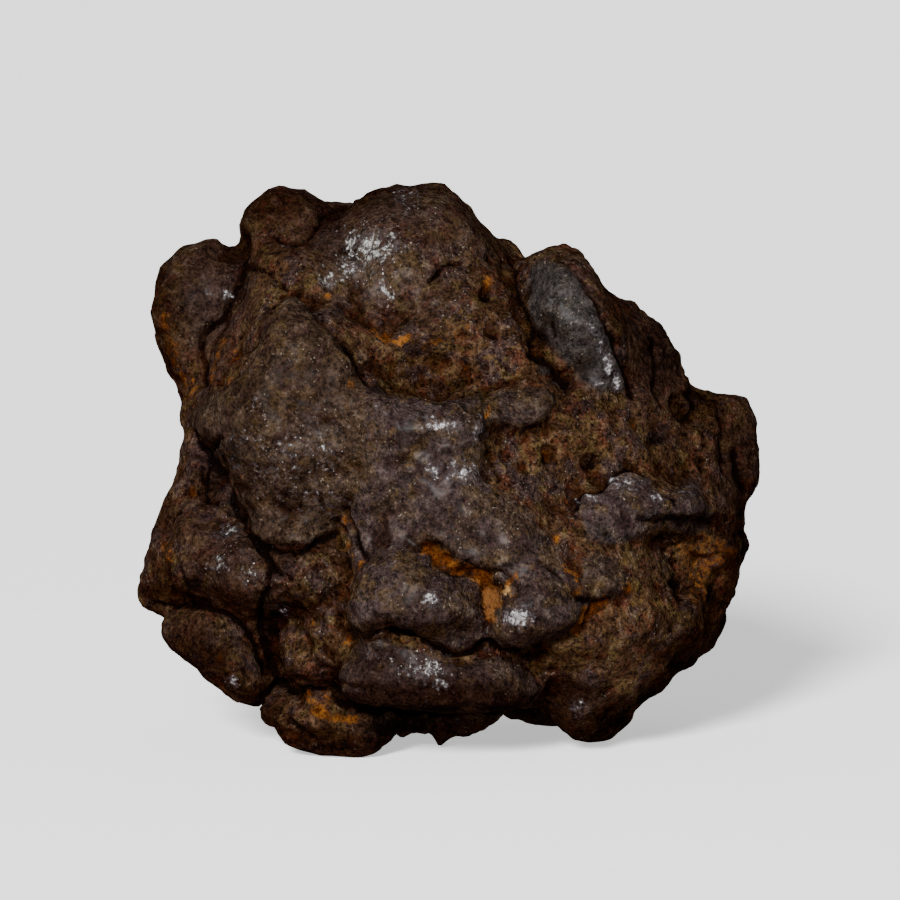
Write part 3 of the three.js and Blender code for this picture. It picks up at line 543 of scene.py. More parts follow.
# Colours that the face shows in known places, as spots like those above. Orange: fresh rust in
# pockets
ORANGE = [
    (-9.8, 62.5, 0.8, 0.8, 1), (-7.5, 61.6, 0.7, 0.8, 0.9), (-11.7, 63.3, 0.75, 0.75, 0.6),
    (-18.3, 68.5, 0.75, 0.75, 0.8), (5.7, 70.6, 0.9, 0.9, 0.9), (-15, 55.2, 1.05, 1.05, 0.7),
    (-41.7, 63.3, 1.2, 2.1, 0.5), (-39, 55, 1.2, 2.1, 0.6), (-37.9, 58.8, 1.35, 1.8, 0.5),
    (-39.8, 73.5, 1.8, 1.2, 0.35), (-34.2, 61.5, 0.75, 0.75, 0.7), (-33.3, 59.4, 0.9, 0.9, 0.6),
    (-31.9, 57, 0.75, 0.75, 0.5), (-39, 39, 0.9, 0.9, 0.8), (-42.3, 28.8, 0.75, 1.2, 0.7),
    (-42.8, 32.5, 0.6, 1.2, 0.5), (-34.5, 14.2, 1.05, 1.05, 0.7), (-22.1, 8.5, 1.35, 0.9, 1),
    (-19.8, 6.3, 1.35, 1.35, 1), (-18.8, 7.8, 0.9, 1.5, 0.9), (-12.8, 5.4, 1.8, 1.2, 0.5),
    (-23.7, 2.4, 1.8, 0.9, 0.6), (-20.7, 19.5, 0.6, 0.9, 0.6), (-16.3, 19.5, 0.75, 1.2, 0.8),
    (-15.4, 16.5, 0.6, 1.2, 0.6), (-13.5, 27.6, 0.6, 1.5, 0.7), (-15.6, 34.8, 0.75, 1.35, 0.6),
    (-16.8, 34.2, 0.9, 0.9, 0.4), (-31.3, 41.2, 0.6, 0.6, 0.5), (-1.9, 28.8, 1.05, 1.05, 0.9),
    (0, 27.9, 1.2, 0.75, 1), (1.9, 27.1, 1.2, 0.75, 1), (3.9, 27.3, 1.05, 0.75, 1),
    (5.1, 26.1, 0.75, 1.2, 1), (5.7, 21, 0.6, 1.5, 0.9), (5.7, 19.1, 0.45, 0.9, 0.6),
    (7.9, 24.6, 1.2, 0.75, 0.8), (9.8, 25.8, 0.75, 1.05, 0.6), (9.4, 23.7, 0.9, 0.9, 0.6),
    (18.8, 27, 1.35, 1.35, 0.8), (19.6, 24.3, 0.9, 0.9, 0.5), (16.1, 31.8, 0.75, 0.75, 0.9),
    (17.4, 37.8, 0.75, 0.75, 0.6), (21.1, 21, 1.65, 1.05, 1), (19.8, 19.5, 1.2, 0.9, 0.9),
    (22.9, 22.2, 0.75, 0.75, 0.8), (14.2, 15.4, 1.35, 0.9, 0.7), (26.7, 24.6, 0.9, 1.05, 0.8),
    (14.7, 44.5, 0.75, 0.75, 0.9), (33.8, 42.3, 0.6, 0.6, 0.5), (34.6, 51.6, 0.9, 1.35, 0.6),
    (-7.5, 16.6, 2.1, 0.75, 0.5), (-3.3, 16.5, 1.5, 0.6, 0.4), (5.7, 51, 0.6, 1.2, 0.7),
    (-14.2, 63.3, 0.9, 0.9, 0.4), (-3, 60.3, 2.1, 1.2, 0.35), (0.3, 63.3, 1.2, 1.2, 0.4),
]
# Fresh rust along creases: half width, strength, then [x, z] points
RUSTY_LINES = [
    (1, 1, [(-3.5, 30.6), (-1.5, 29.4), (0.8, 27.6), (3, 27.2), (5, 26.3), (5.8, 24.3), (6, 22),
        (6.2, 19.8)]),
    (0.6, 0.8, [(6.4, 24.6), (8, 24.9), (9.8, 26.4)]),
    (0.8, 1, [(18.8, 18), (20, 19.8), (21.2, 21), (23.1, 22.8)]),
    (0.7, 0.95, [(-21.8, 8.6), (-19.5, 6.6), (-17.3, 5.1), (-14, 5)]),
    (0.7, 0.45, [(-15.8, 35.5), (-15.2, 31), (-14.6, 27.5), (-15.6, 22.8), (-15.5, 16.8)]),
    (1, 0.65, [(17.3, 28.8), (18.3, 26.3), (19.4, 24)]),
    (0.6, 0.85, [(-10.8, 62.6), (-9.3, 61.6), (-7.8, 61.4), (-6, 62.4)]),
    (1.4, 0.5, [(-3.6, 61), (-0.6, 61.8), (2.3, 63.3)]),
    (1.3, 0.6, [(-43, 66), (-41.5, 60), (-39.2, 53.6)]),
    (0.7, 0.65, [(-34, 61.8), (-35.4, 58.2), (-36.4, 55.2)]),
    (0.8, 0.55, [(-32.2, 60), (-33, 57.4), (-34.6, 55.4)]),
    (0.8, 0.5, [(-43, 34), (-42.8, 31), (-42.2, 28)]),
    (0.9, 0.5, [(26.5, 25.4), (28.6, 23.4), (31, 22.4)]),
]
# Ochre: dust in some hollows
OCHRE = [
    (5.8, 59.1, 0.75, 0.45, 1), (17.2, 16.6, 0.45, 0.45, 1), (27.6, 22.8, 1.2, 0.9, 0.9),
    (26.2, 28.8, 0.75, 0.75, 0.9), (40.2, 29.8, 0.9, 0.9, 0.8), (33.3, 31, 1.2, 1.2, 0.3),
    (-25.5, 49.8, 3, 3.4, 0.6), (-27, 54.8, 1.35, 1.35, 0.4), (-22.5, 37, 3.8, 1.8, 0.4),
    (-26, 57, 6, 9, 0.3), (-24, 42, 9, 8, 0.25), (-20, 50, 7, 8, 0.2), (-14, 40, 3, 4, 0.3),
    (-1.9, 30.4, 1.5, 0.9, 0.7), (6, 23.1, 1.05, 1.35, 1), (7.5, 24.3, 0.9, 0.75, 0.7),
    (-32.7, 32.1, 1.2, 0.6, 0.6), (-20.7, 28.5, 1.2, 0.75, 0.6), (28.5, 48.3, 1.5, 1.5, 0.3),
    (32.7, 48, 0.9, 0.9, 0.4), (-5.2, 67.8, 3, 1.8, 0.2), (16.5, 9.3, 1.5, 1.5, 0.3),
    (28.5, 16.8, 4.5, 4.5, 0.2),
]
# Pale: bare sandy rust in the pocket between the paws
PALE = [
    (6.2, 23.2, 1.3, 1.7, 1.1), (5.9, 21, 0.7, 1.4, 1), (8, 24.3, 1.6, 0.7, 0.8),
]
# Black: pits, and painted shade in the gaps between the lobes, at the foot of the sheets and on the
# shaded undersides and flanks
PITS_AND_PAINTED_SHADE = [
    (-3, 6.6, 8, 0.8, 1), (8, 6.6, 6, 0.8, 1), (-8, 3.5, 7, 2.2, 1), (-36, 16, 5, 5, 0.45),
    (26.6, 4.4, 4.5, 1.5, 1), (30.8, 8, 3.6, 1.7, 1), (35, 12.4, 2.6, 2.2, 1),
    (-41.6, 13.6, 1, 4, 0.7), (5.7, 68.8, 0.6, 0.6, 1), (6, 62.5, 0.9, 0.6, 0.9),
    (23.1, 32.4, 2.1, 1.2, 0.7), (27, 31, 1.2, 0.9, 0.4), (33.2, 25, 0.9, 2.4, 0.85),
    (39.4, 23.4, 1.2, 1.6, 0.9), (33.4, 35, 5.5, 0.9, 0.9), (45.6, 34, 1.5, 7, 1),
    (41.6, 20, 1.6, 4, 0.8), (30.8, 46.6, 1.65, 1.05, 0.6), (35.4, 47.9, 0.8, 0.6, 0.6),
    (21, 43, 1.2, 0.75, 0.6), (20.4, 22.8, 1.35, 0.6, 1), (8.5, 27.9, 1.2, 0.6, 0.8),
    (-28.2, 30.6, 0.9, 2.1, 0.8), (-37.9, 25.1, 2.1, 1.8, 0.7), (-27, 18.3, 1.2, 3.9, 0.8),
    (-25.1, 12.6, 1.5, 3.3, 0.6), (-26.7, 22.8, 2.1, 1.5, 0.6), (-35.2, 42.3, 1.8, 5.4, 0.8),
    (-32.7, 45, 1.2, 4.5, 0.7), (-36.6, 16.8, 3.3, 0.9, 0.3), (-21, 9.3, 2.7, 0.45, 0.9),
    (-7.5, 6.9, 7.5, 0.45, 1), (4.5, 5.7, 6, 0.45, 1), (-9.8, 1.5, 3, 0.75, 0.8),
    (-15.8, 0.6, 4.5, 0.75, 0.8), (-22.5, 4, 2.1, 1.2, 0.8), (14.7, 55.5, 2.7, 0.6, 0.6),
    (15.9, 56.1, 1.2, 0.45, 1), (36, 53.5, 1.2, 1.5, 0.8), (42.8, 41.5, 0.75, 2.7, 1),
    (44.2, 46.8, 0.9, 1.8, 0.5), (43.8, 28.8, 1.2, 7.5, 0.7), (30.8, 60.3, 3, 6, 0.5),
    (25.5, 66.3, 2.1, 4.5, 0.4), (-6.8, 72.6, 3, 0.6, 0.2), (-14.7, 60, 2.1, 1.5, 0.5),
    (-1.9, 71.8, 1.5, 0.75, 0.3), (-41.2, 16.8, 0.9, 3, 0.4), (-33, 7.8, 2.4, 0.9, 0.4),
    (22.5, 2.5, 4.5, 0.75, 0.5), (-4.5, 4.5, 9, 0.75, 0.6), (-42.8, 59.5, 0.9, 4.5, 0.5),
    (-13.5, 31, 0.9, 1.2, 0.7), (-36.8, 55.8, 0.6, 1.5, 0.6),
]
# Red-brown painted shade: darker on the rims and undersides, where the light falls away
PAINTED_RIM_SHADE = [
    (46, 33, 3.5, 9, 1), (41, 57, 4, 5, 0.6), (-33, 30, 5, 8, 0.45), (-27, 82, 8, 4, 0.9),
    (-16, 84, 11, 3.5, 1), (-33, 74, 4, 4, 0.5), (-27, 79, 7, 6, 0.7), (-15, 83.5, 8, 3, 0.9),
    (-6, 86, 10, 2.5, 0.8), (4, 83, 5, 5, 0.5), (-40, 74, 6, 6, 0.5), (-42, 64, 4, 10, 0.6),
    (-37, 60, 6, 9, 0.35), (31, 60, 5, 7, 0.9), (26, 67, 4, 6, 0.8), (38, 52, 5, 4, 0.9),
    (45, 45, 5, 7, 0.9), (43, 30, 3.5, 12, 1), (39, 18, 5, 7, 0.95), (36, 11, 5, 4.5, 0.95),
    (29, 4.5, 7, 3, 0.9), (14, 5, 6, 2.5, 0.7), (-2, 7.6, 15, 2.6, 1), (-2, 2.5, 16, 3, 1),
    (-16, 2, 8, 3, 0.6), (-27, 6, 5, 5, 0.5), (-39, 14, 7, 7, 1), (-28, 57, 7, 7, 0.35),
    (-19, 55, 6, 6, 0.3), (-44, 25, 4, 6, 0.7), (-43, 34, 3, 8, 0.5), (-38, 21, 7, 2, 0.6),
    (21, 52, 5, 2, 0.5), (33, 47, 4, 4, 0.5), (14, 61, 2.5, 6, 0.6), (-36.5, 40, 2.5, 5, 0.8),
    (-26.8, 30, 2.4, 3, 0.8), (-38, 24, 4, 2, 0.8), (-25.5, 20, 3.5, 3.5, 0.7),
    (-27, 12.5, 1.6, 4.5, 0.9), (-39.5, 14.5, 2.5, 3.5, 0.9), (-28, 6, 4, 4, 0.9),
    (-20, 1.5, 6, 1.8, 0.9), (-25, 3, 3, 3, 0.7), (-3, 5.5, 16, 3, 0.8), (-2, 9.2, 15, 3, 0.9),
    (-12, 11, 5, 5, 0.7), (-18.5, 80, 4.5, 4, 0.85), (-43.5, 70, 3, 8, 0.9), (-35, 27, 6, 6, 0.5),
    (9, 73, 5, 6, 0.5), (8, 80, 4, 5, 0.6),
]
# The one underside that the painted shade covers less
PALER_UNDERSIDE = [(26.5, 11.5, 4.5, 4, 0.8)]
# A purple-brown cast on parts of the crust
PLUM = [
    (-35, 68, 5, 8, 0.9), (-34, 31, 6, 9, 0.9), (-28, 24, 5, 6, 0.7), (-36, 42, 2.5, 7, 0.9),
    (-2, 9, 15, 3.5, 0.9), (-6, 3, 12, 3, 0.9), (19, 8, 5, 5, 0.6), (-10, 66, 8, 3.5, 0.5),
    (-2, 79, 7, 6, 0.5), (43, 41, 3, 8, 0.7), (31, 59, 4, 8, 1), (5, 33, 12, 7, 0.3),
    (-19, 79, 5, 5, 0.8), (-38, 16, 7, 6, 0.6), (-20, 54, 5, 5, 0.4),
]
# Metal where the crust is worn through: dull and dark,
STEEL = [
    (14.2, 57.3, 1.2, 0.75, 1), (16.2, 55.8, 1.2, 0.6, 1), (13.2, 59.1, 0.75, 0.45, 0.8),
    (23.1, 32.4, 3, 1.8, 0.6), (31.5, 47, 2.2, 1.6, 0.6),
]
# polished, and painted with highlights where it faces the front,
POLISH_AND_PAINTED_HIGHLIGHTS = [
    (-24, 45, 10, 8, 0.6), (-30, 47, 4, 4, 0.6), (-20, 38, 6, 5, 0.55), (-1.5, 49, 3.6, 0.9, 1.2),
    (-3.8, 50.5, 6, 3, 0.6), (1.8, 42, 2.8, 2, 1.1), (-2.7, 42.3, 2.2, 1.4, 1),
    (4, 48, 1.2, 2.4, 0.9), (4.2, 45.6, 1.2, 1.5, 0.7), (10.5, 52, 3.9, 2.1, 0.5),
    (22.1, 55.6, 1.5, 0.8, 0.9), (21.4, 64, 0.6, 2, 1), (22.5, 61.3, 0.7, 2, 1),
    (23.7, 58.2, 0.8, 2, 1.1), (24.9, 55.6, 0.8, 1.6, 1.2), (21.3, 64.5, 1.5, 1.5, 0.6),
    (10.2, 20.2, 2.7, 1.5, 1.3), (12, 22.8, 2.1, 1.8, 0.5), (-3, 22.8, 1.1, 1.1, 1.25),
    (-3.8, 25.1, 2.7, 1.8, 0.5), (24.6, 41, 1.6, 0.8, 1.1), (26.2, 40.2, 2.8, 1.5, 0.95),
    (28.8, 40.4, 1.6, 0.8, 0.9), (31.2, 38, 1.8, 1.1, 0.95), (20.6, 38.1, 2.2, 0.7, 1),
    (35.8, 39.2, 1.8, 1.2, 0.85), (30, 35.8, 3, 0.8, 0.6), (-33.5, 33.5, 2.4, 2, 0.75),
    (-34.6, 28, 1.8, 1.6, 0.8), (-25.2, 21.8, 1.8, 1.4, 0.6), (-3.8, 12, 4.5, 1.5, 0.9),
    (-1.5, 10.5, 1.8, 1.05, 1), (-12, 14.5, 2.7, 1.5, 0.5), (-32.7, 10.8, 1.05, 1.2, 1),
    (-33.4, 68.6, 0.7, 0.9, 1.15), (-36.3, 69, 0.6, 0.8, 0.9), (19.2, 6.6, 1.5, 1.5, 0.7),
    (21, 11.5, 0.9, 1.35, 0.8), (-12, 76.3, 3.6, 2.1, 0.8), (-15, 72.6, 2.1, 1.5, 0.9),
    (-8.2, 76.8, 1.8, 1.8, 0.7), (-10.2, 70, 1.5, 1.5, 0.8), (-18, 70.5, 1.8, 1.2, 0.8),
    (-7.2, 83.1, 1.8, 1.5, 0.7), (-1.5, 81.3, 3, 2.1, 0.3), (-30, 26.1, 2.1, 1.5, 0.6),
    (-32.4, 34, 1.2, 1.2, 0.7), (-34.2, 28.8, 1.2, 1.2, 0.5), (-29.2, 52.3, 1.2, 1.6, 0.6),
    (-11.2, 51.6, 0.7, 0.5, 0.9), (-18.8, 28.1, 2.1, 1.5, 0.5), (0.8, 66.3, 2.4, 1.5, 0.5),
    (4.5, 64.8, 1.2, 1.2, 0.4), (1.5, 13.8, 2.4, 1.2, 0.4), (8.2, 31, 3, 1.5, 0.3),
]
# and in bright flakes, whose near-white colour is partly painted glints
FLAKES_AND_PAINTED_GLINTS = [
    (-12, 75.6, 5.6, 4.6, 1.05), (-15, 72.3, 3.9, 2.4, 0.9), (-18, 70.8, 3, 1.8, 1.05),
    (-33, 33.6, 2, 1.8, 0.9), (-30.4, 27.4, 2, 2.6, 0.85), (-34.5, 28.6, 1.6, 1.6, 0.9),
    (-9.8, 69.3, 2.4, 2.1, 0.95), (-6, 83, 2.6, 2.1, 0.85), (0.8, 66.3, 5.1, 3, 0.6),
    (-7.5, 62.5, 5.1, 3, 0.4), (-21, 45.3, 9, 6, 0.5), (-1.5, 48.3, 6.6, 4.5, 0.45),
    (-0.8, 41.5, 5.1, 3, 0.5), (-3.8, 13.2, 4.6, 2.4, 1), (-3, 22.8, 3.3, 3, 0.4),
    (-31.5, 30.3, 5.4, 5.1, 0.4), (18.8, 7.8, 3.6, 3.6, 0.3), (28.5, 40, 6, 2.4, 0.25),
    (10.5, 21.3, 3.6, 2.7, 0.3), (10.5, 52, 3.6, 2.1, 0.25), (-33, 10.8, 1.8, 1.5, 0.5),
    (-28, 50, 5, 3, 0.35),
]

# How strongly each stain lies on each point. The material below frays their edges.
RUST_STRENGTH = 1.1
rusty = RUST_STRENGTH * spots(ORANGE, sx, sz)
for half_width, strength, points in RUSTY_LINES:
    line = smooth_line([(*point, half_width) for point in points], False)
    off = distance_to(line, sx, sz, 3 * half_width)[0]
    covered = np.exp(-SPOT_FADE * (off / half_width) ** 2)
    rusty = np.maximum(rusty, RUST_STRENGTH * strength * shown * covered)
clean = 1 - np.clip(1.1 * rusty, 0, 0.9)
patch = ripple(13, 22) + 0.4 * ripple(4, 23)
hidden = 1 - shown
hollow = step(0.05, 0.5, broad_hollow) * (1 - 0.5 * crust)
stains = {
    "crust": crust,
    "grey": grey,
    "rust": np.maximum.reduce(
        [rusty, hollow * step(0.1, 0.9, patch) - 0.3 * shown, 0.66 * rusty_side]
    )
    + blot,
    "ochre": np.maximum.reduce(
        [spots(OCHRE, sx, sz), 0.6 * hidden * hollow, 0.4 * rusty_side]
    )
    + blot,
    "pale": spots(PALE, sx, sz) + 0.5 * blot,
    "plum": np.clip(spots(PLUM) * (1 + blot), 0, 1),
    # black pits and painted shade: the listed spots, then the creases, the feet cut under the
    # sheets and small hollows
    "pits_and_painted_shade": np.clip(
        spots(PITS_AND_PAINTED_SHADE, sx, sz)
        + 0.6 * clean * step(0.25, 0.8, shown * creases)
        + 0.7 * clean * front * step(0.25, 0.9, foot)
        + 0.6 * clean * step(0.06, 0.3, fine_hollow)
        + blot,
        0,
        1.5,
    ),
    # red-brown painted shade: the listed spots, and every side that faces down
    "painted_rim_shade": np.clip(
        spots(PAINTED_RIM_SHADE) * (1 + 0.6 * blot)
        + 0.9 * step(0.1, -0.7, normals[:, 2]) * (1 - spots(PALER_UNDERSIDE)),
        0,
        1,
    ),
    "steel": np.maximum(step(0.25, 0.9, spots(STEEL) + 0.5 * blot), 0.9 * slate_side),
    # polished metal with a painted highlight over it, only where the face looks forward
    "polish_and_painted_highlight": np.maximum(
        spots(POLISH_AND_PAINTED_HIGHLIGHTS, sx, sz) * step(0, 0.35, facing),
        0.45 * hidden * crust * step(0.2, 0.7, ripple(6, 24)),
    )
    + 0.5 * blot,
    # bright metal flakes, partly painted glints
    "flakes_and_painted_glints": np.maximum(spots(FLAKES_AND_PAINTED_GLINTS), hidden * 0.6 * step(0.1, 0.6, ripple(9, 25))),
    # how much clear glaze there is, with none where the face turns away
    "glaze": (0.015 + 0.04 * grey) * (1 - front * step(0.6, 0.15, facing)),
    # how deep in a hollow each point lies, for the painted shade there
    "hollow": np.clip(0.5 + 0.9 * broad_hollow + 1.6 * fine_hollow, 0, 1) * (1 - 0.6 * rusty_side),
}
for name, values in stains.items():
    layer = mesh.attributes.new(name, "FLOAT", "POINT")
    layer.data.foreach_set("value", values.astype(np.float32))

# Its finish: rusty iron under a thin brown-grey crust. Clouds of noise in many sizes give it its
# broken colour, and the stains lie over them.
finish = bpy.data.materials.new("fusion_crust")
finish.use_nodes = True
nodes = finish.node_tree.nodes
links = finish.node_tree.links
nodes.clear()
output = nodes.new("ShaderNodeOutputMaterial")
shader = nodes.new("ShaderNodeBsdfPrincipled")
links.new(shader.outputs[0], output.inputs[0])
position = nodes.new("ShaderNodeTexCoord").outputs["Object"]


def put(value, socket):
    """Links an output to the socket, or sets the socket to a plain value"""
    if isinstance(value, bpy.types.NodeSocket):
        links.new(value, socket)
    else:
        socket.default_value = value


def calculated(operation, a, b, c=0.0):
    """The result of one sum, of numbers or of other nodes' values"""
    node = nodes.new("ShaderNodeMath")
    node.operation = operation
    for value, socket in zip((a, b, c), node.inputs):
        put(value, socket)
    return node.outputs[0]


def ramp(value, low, high):
    """The same step, in the material"""
    node = nodes.new("ShaderNodeMapRange")
    node.interpolation_type = "SMOOTHSTEP"
    put(value, node.inputs["Value"])
    node.inputs["From Min"].default_value = low
    node.inputs["From Max"].default_value = high
    return node.outputs[0]


def stain(name):
    """How strongly one of the stains above lies on the skin"""
    node = nodes.new("ShaderNodeAttribute")
    node.attribute_name = name
    return node.outputs["Fac"]


def cloud(size, detail, seed, swirl=0.0, stretch=1.0):
    """Noise whose waves are `size` millimetres long, and longer up the stone when stretched"""
    drawn = nodes.new("ShaderNodeVectorMath")
    drawn.operation = "MULTIPLY"
    links.new(position, drawn.inputs[0])
    drawn.inputs[1].default_value = (1, 1, 1 / stretch)
    node = nodes.new("ShaderNodeTexNoise")
    node.noise_dimensions = "4D"
    links.new(drawn.outputs[0], node.inputs["Vector"])
    node.inputs["W"].default_value = seed
    node.inputs["Scale"].default_value = 1000 / size
    node.inputs["Detail"].default_value = detail
    node.inputs["Roughness"].default_value = 0.65
    node.inputs["Distortion"].default_value = swirl
    return node.outputs["Fac"]


def mixed(share, a, b, way="MIX"):
    """The first colour, with a share of the second over it or multiplied into it"""
    node = nodes.new("ShaderNodeMix")
    node.data_type = "RGBA"
    node.blend_type = way
    node.clamp_factor = True
    put(share, node.inputs["Factor"])
    for value, socket in ((a, node.inputs["A"]), (b, node.inputs["B"])):
        put((*value, 1) if isinstance(value, tuple) else value, socket)
    return node.outputs["Result"]


def part_of(value, low, high, strength):
    """A ramp that ends at the strength"""
    return calculated("MULTIPLY", ramp(value, low, high), strength)


def layered(color, layers):
    """The colour with others over it, each where its noise is strong: low, high, strength"""
    for value, low, high, strength, over in layers:
        color = mixed(part_of(value, low, high, strength), color, over)
    return color


clouds = cloud(8, 4, 0)
veil = cloud(5, 4, 1, 0.3)
blotch = cloud(3.2, 4, 2, 0.3)
patchy = cloud(2.2, 4, 8, 0.2)
mottle = cloud(1.3, 4, 3)
wisp = cloud(0.6, 3, 4)
frayed = cloud(0.9, 4, 9)
dust = cloud(0.42, 2, 5)
speck = cloud(0.45, 1, 6)

# Bare body: brown rust, with purple, olive and red in it
brown = mixed(ramp(clouds, 0.4, 0.6), (0.0191, 0.0090, 0.0043), (0.0288, 0.0148, 0.0068))
brown = layered(brown, [
    (veil, 0.5, 0.57, 0.8, (0.0191, 0.0119, 0.0115)),  # purple
    (blotch, 0.52, 0.59, 0.75, (0.0374, 0.0238, 0.0086)),  # olive
    (patchy, 0.53, 0.59, 0.75, (0.0331, 0.0108, 0.0054)),  # red
    (mottle, 0.55, 0.65, 0.55, (0.0430, 0.0280, 0.0160)),  # pale grit
    (wisp, 0.53, 0.6, 0.85, (0.0061, 0.0027, 0.0026)),  # near black
])

# Crust: a thinner skin, olive brown where it is scoured and a purplish grey where it is whole
skin = mixed(ramp(clouds, 0.4, 0.6), (0.0140, 0.0080, 0.0043), (0.0262, 0.0166, 0.0096))
slate = mixed(ramp(clouds, 0.4, 0.6), (0.0104, 0.0066, 0.0071), (0.0200, 0.0140, 0.0154))
skin = mixed(calculated("MULTIPLY", stain("grey"), ramp(veil, 0.6, 0.48)), skin, slate)
skin = layered(skin, [
    (blotch, 0.53, 0.6, 0.65, (0.0274, 0.0155, 0.0061)),  # olive
    (patchy, 0.53, 0.59, 0.55, (0.0076, 0.0042, 0.0050)),  # dark purple
    (mottle, 0.55, 0.65, 0.4, (0.0330, 0.0270, 0.0225)),  # pale grit
    (wisp, 0.54, 0.61, 0.5, (0.0054, 0.0030, 0.0033)),  # near black
])
crust_edge = calculated("ADD", stain("crust"), calculated("SUBTRACT", mottle, 0.5))
color = mixed(part_of(crust_edge, 0.1, 0.9, 0.85), brown, skin)
color = mixed(calculated("MULTIPLY", stain("steel"), 0.8), color, (0.0160, 0.0150, 0.0148))
color = mixed(calculated("MULTIPLY", stain("plum"), 0.6), color, (0.0155, 0.0084, 0.0079))

# Fine light and dark over all of it, and pale grains
tone = calculated("MULTIPLY_ADD", dust, 3.4, calculated("MULTIPLY_ADD", mottle, 3.3, -2.4))
color = mixed(1.0, color, calculated("MAXIMUM", tone, 0.3), "MULTIPLY")
grains = calculated("MULTIPLY", part_of(speck, 0.66, 0.73, 0.7), ramp(veil, 0.44, 0.56))
color = mixed(grains, color, (0.1080, 0.0890, 0.0660))

# Rust pockets, ochre dust, pale sand, then painted shade: dark in hollows, red-brown on rims and
# undersides, black in creases
ragged_edge = calculated("MULTIPLY_ADD", speck, 0.8, calculated("MULTIPLY_ADD", frayed, 1.5, -1.15))
rust = ramp(calculated("ADD", stain("rust"), ragged_edge), 0.5, 0.95)
orange = mixed(ramp(mottle, 0.36, 0.6), (0.0324, 0.0108, 0.0029), (0.1152, 0.0418, 0.0072))
orange = mixed(ramp(dust, 0.52, 0.66), orange, (0.0216, 0.0058, 0.0014))
color = mixed(calculated("MULTIPLY", rust, 0.9), color, orange)
ochre = ramp(calculated("ADD", stain("ochre"), ragged_edge), 0.35, 1.1)
color = mixed(calculated("MULTIPLY", ochre, 0.7), color, (0.0576, 0.0331, 0.0101))
pale = ramp(calculated("ADD", stain("pale"), ragged_edge), 0.35, 0.9)
pale = calculated("MULTIPLY", pale, calculated("MULTIPLY_ADD", mottle, 0.9, 0.35))
color = mixed(pale, color, (0.1750, 0.0960, 0.0360))
# Painted shade: darker and browner deep in the hollows
color = mixed(ramp(stain("hollow"), 0.6, 1.0), color, (0.45, 0.33, 0.26), "MULTIPLY")
# Painted shade: red-brown and darker on the rims and undersides
color = mixed(stain("painted_rim_shade"), color, (0.30, 0.20, 0.15), "MULTIPLY")
# Painted shade: near black in the creases, under the sheets' feet and in the pits
pits_and_painted_shade = ramp(calculated("ADD", stain("pits_and_painted_shade"), ragged_edge), 0.35, 0.95)
color = mixed(calculated("MULTIPLY", pits_and_painted_shade, 0.9), color, (0.0010, 0.0005, 0.0004))

# Worn metal and painted highlights: silvery patches on the lobes with a bright painted core, frosty
# blots and glints painted near white
polish_and_highlight_edge = calculated("MULTIPLY_ADD", ragged_edge, 1.5, stain("polish_and_painted_highlight"))
polish_and_painted_highlight = part_of(polish_and_highlight_edge, 0.45, 1.15, 0.55)
color = mixed(polish_and_painted_highlight, color, (0.0389, 0.0324, 0.0346))
# the painted highlight's near-white core
core = calculated("MULTIPLY", ramp(polish_and_highlight_edge, 0.85, 1.5), ramp(dust, 0.3, 0.62))
color = mixed(core, color, (0.3024, 0.2916, 0.2880))
strokes = cloud(0.9, 3, 10, 0.5, 1.7)
# Frosty blots and glints: bright metal flakes, with their near-white colour a painted glint
frost_and_painted_glints = calculated("MULTIPLY_ADD", strokes, 3.2, calculated("SUBTRACT", stain("flakes_and_painted_glints"), 1.6))
color = mixed(part_of(frost_and_painted_glints, 0.6, 1.2, 0.35), color, (0.0389, 0.0350, 0.0340))
frost_and_painted_glints = part_of(frost_and_painted_glints, 0.95, 1.4, 0.8)
frost_and_painted_glints = calculated("MULTIPLY", frost_and_painted_glints, ramp(dust, 0.36, 0.56))
glint = calculated("MULTIPLY", ramp(stain("flakes_and_painted_glints"), 0.2, 0.8), ramp(patchy, 0.46, 0.56))
glint = calculated("MULTIPLY", glint, ramp(speck, 0.68, 0.74))
flake_and_painted_glint = calculated("MAXIMUM", frost_and_painted_glints, glint)
color = mixed(flake_and_painted_glint, color, (0.2736, 0.2700, 0.2556))
links.new(color, shader.inputs["Base Color"])

# Whole crust is smoother and has a thin glaze, and worn metal is smoother still
shine = calculated("MULTIPLY", ramp(crust_edge, 0.25, 0.7), calculated("SUBTRACT", 1, rust))
rough = calculated("SUBTRACT", 0.9, calculated("MULTIPLY", shine, 0.3))
rough = calculated("SUBTRACT", rough, calculated("MULTIPLY", polish_and_painted_highlight, 0.3))
rough = calculated("SUBTRACT", rough, calculated("MULTIPLY", flake_and_painted_glint, 0.3))
links.new(rough, shader.inputs["Roughness"])
metal = calculated("MAXIMUM", calculated("MULTIPLY", core, 0.6), calculated("MULTIPLY", flake_and_painted_glint, 0.5))
links.new(metal, shader.inputs["Metallic"])
glaze = calculated("MULTIPLY", shine, calculated("SUBTRACT", 1, pits_and_painted_shade))
glaze = calculated("MULTIPLY", glaze, ramp(stain("painted_rim_shade"), 0.6, 0.0))
glaze = calculated("MULTIPLY", glaze, stain("glaze"))
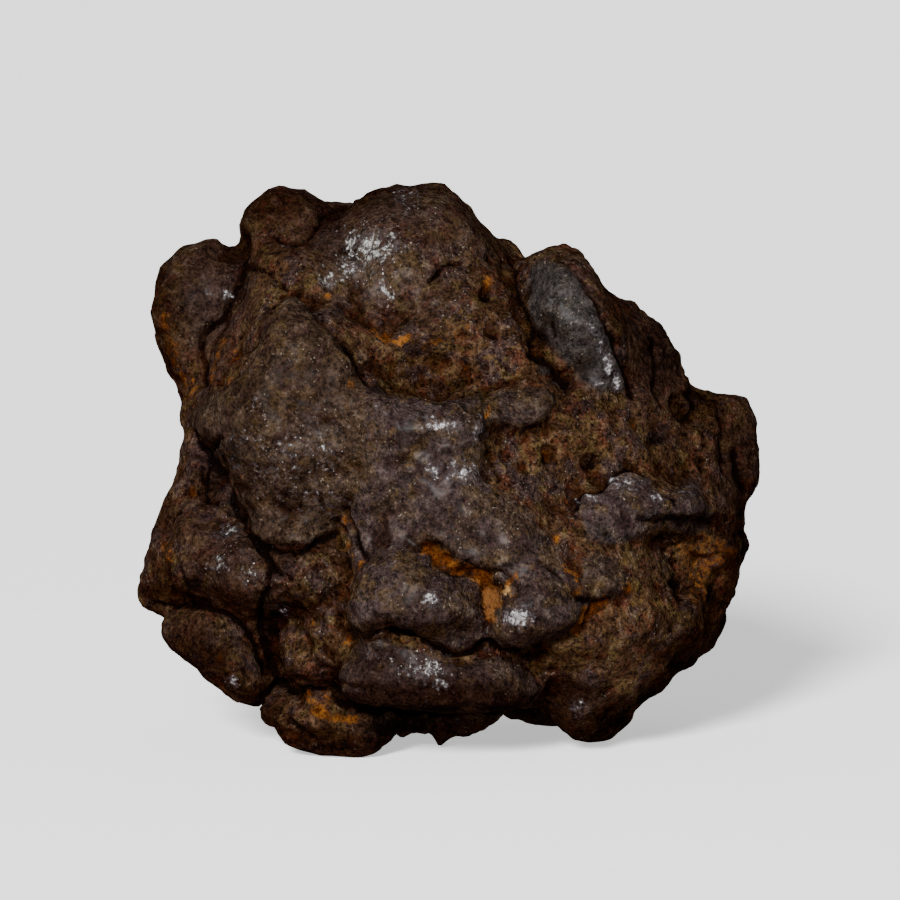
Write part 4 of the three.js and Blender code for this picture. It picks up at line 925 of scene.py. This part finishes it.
links.new(glaze, shader.inputs["Coat Weight"])
shader.inputs["Coat Roughness"].default_value = 0.38
shader.inputs["Specular IOR Level"].default_value = 0

# A fine roughness, too small for the mesh
height = calculated("MULTIPLY_ADD", mottle, 0.9, calculated("MULTIPLY", wisp, -0.3))
height = calculated("MULTIPLY_ADD", dust, 0.25, height)
bump = nodes.new("ShaderNodeBump")
bump.inputs["Strength"].default_value = 1.0
bump.inputs["Distance"].default_value = 0.0011
links.new(height, bump.inputs["Height"])
links.new(bump.outputs[0], shader.inputs["Normal"])
mesh.materials.append(finish)

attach(stone, "root")
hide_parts("meteorite")

# The floor: a plain pale light table
bpy.ops.mesh.primitive_circle_add(vertices=96, radius=12, fill_type="NGON", location=(0, 0, 0))
floor = bpy.context.object
floor.name = "floor"
board = bpy.data.materials.new("board")
board.use_nodes = True
surface = board.node_tree.nodes["Principled BSDF"].inputs
surface["Base Color"].default_value = (0.85, 0.85, 0.85, 1)
surface["Roughness"].default_value = 0.9
surface["Emission Color"].default_value = (1, 1, 1, 1)
surface["Emission Strength"].default_value = 0.65
floor.data.materials.append(board)

# Studio light: a broad one in front, a little above the stone and to its left, a small weak one
# beside it for the sheen of the crust, and a dim pale room
room = bpy.data.worlds.new("room")
room.use_nodes = True
glow = room.node_tree.nodes["Background"].inputs
glow["Color"].default_value = (1, 1, 1, 1)
glow["Strength"].default_value = 0.29
bpy.context.scene.world = room
STONE_MIDDLE = Vector((0, 0, 0.045))


def aimed(name, lamp, place):
    """Puts a light in its place, shining at the stone's middle"""
    lit = bpy.data.objects.new(name, lamp)
    bpy.context.scene.collection.objects.link(lit)
    lit.location = place
    away = Vector(place) - STONE_MIDDLE
    lit.rotation_euler = away.to_track_quat("Z", "Y").to_euler()


high = bpy.data.lights.new("high", "SUN")
high.energy = 11.2
high.angle = math.radians(10)
aimed("high", high, (-0.22, -0.97, 0.42))
small = bpy.data.lights.new("small", "AREA")
small.size = 0.12
small.energy = 5
aimed("small", small, (-0.12, -0.85, 0.3))
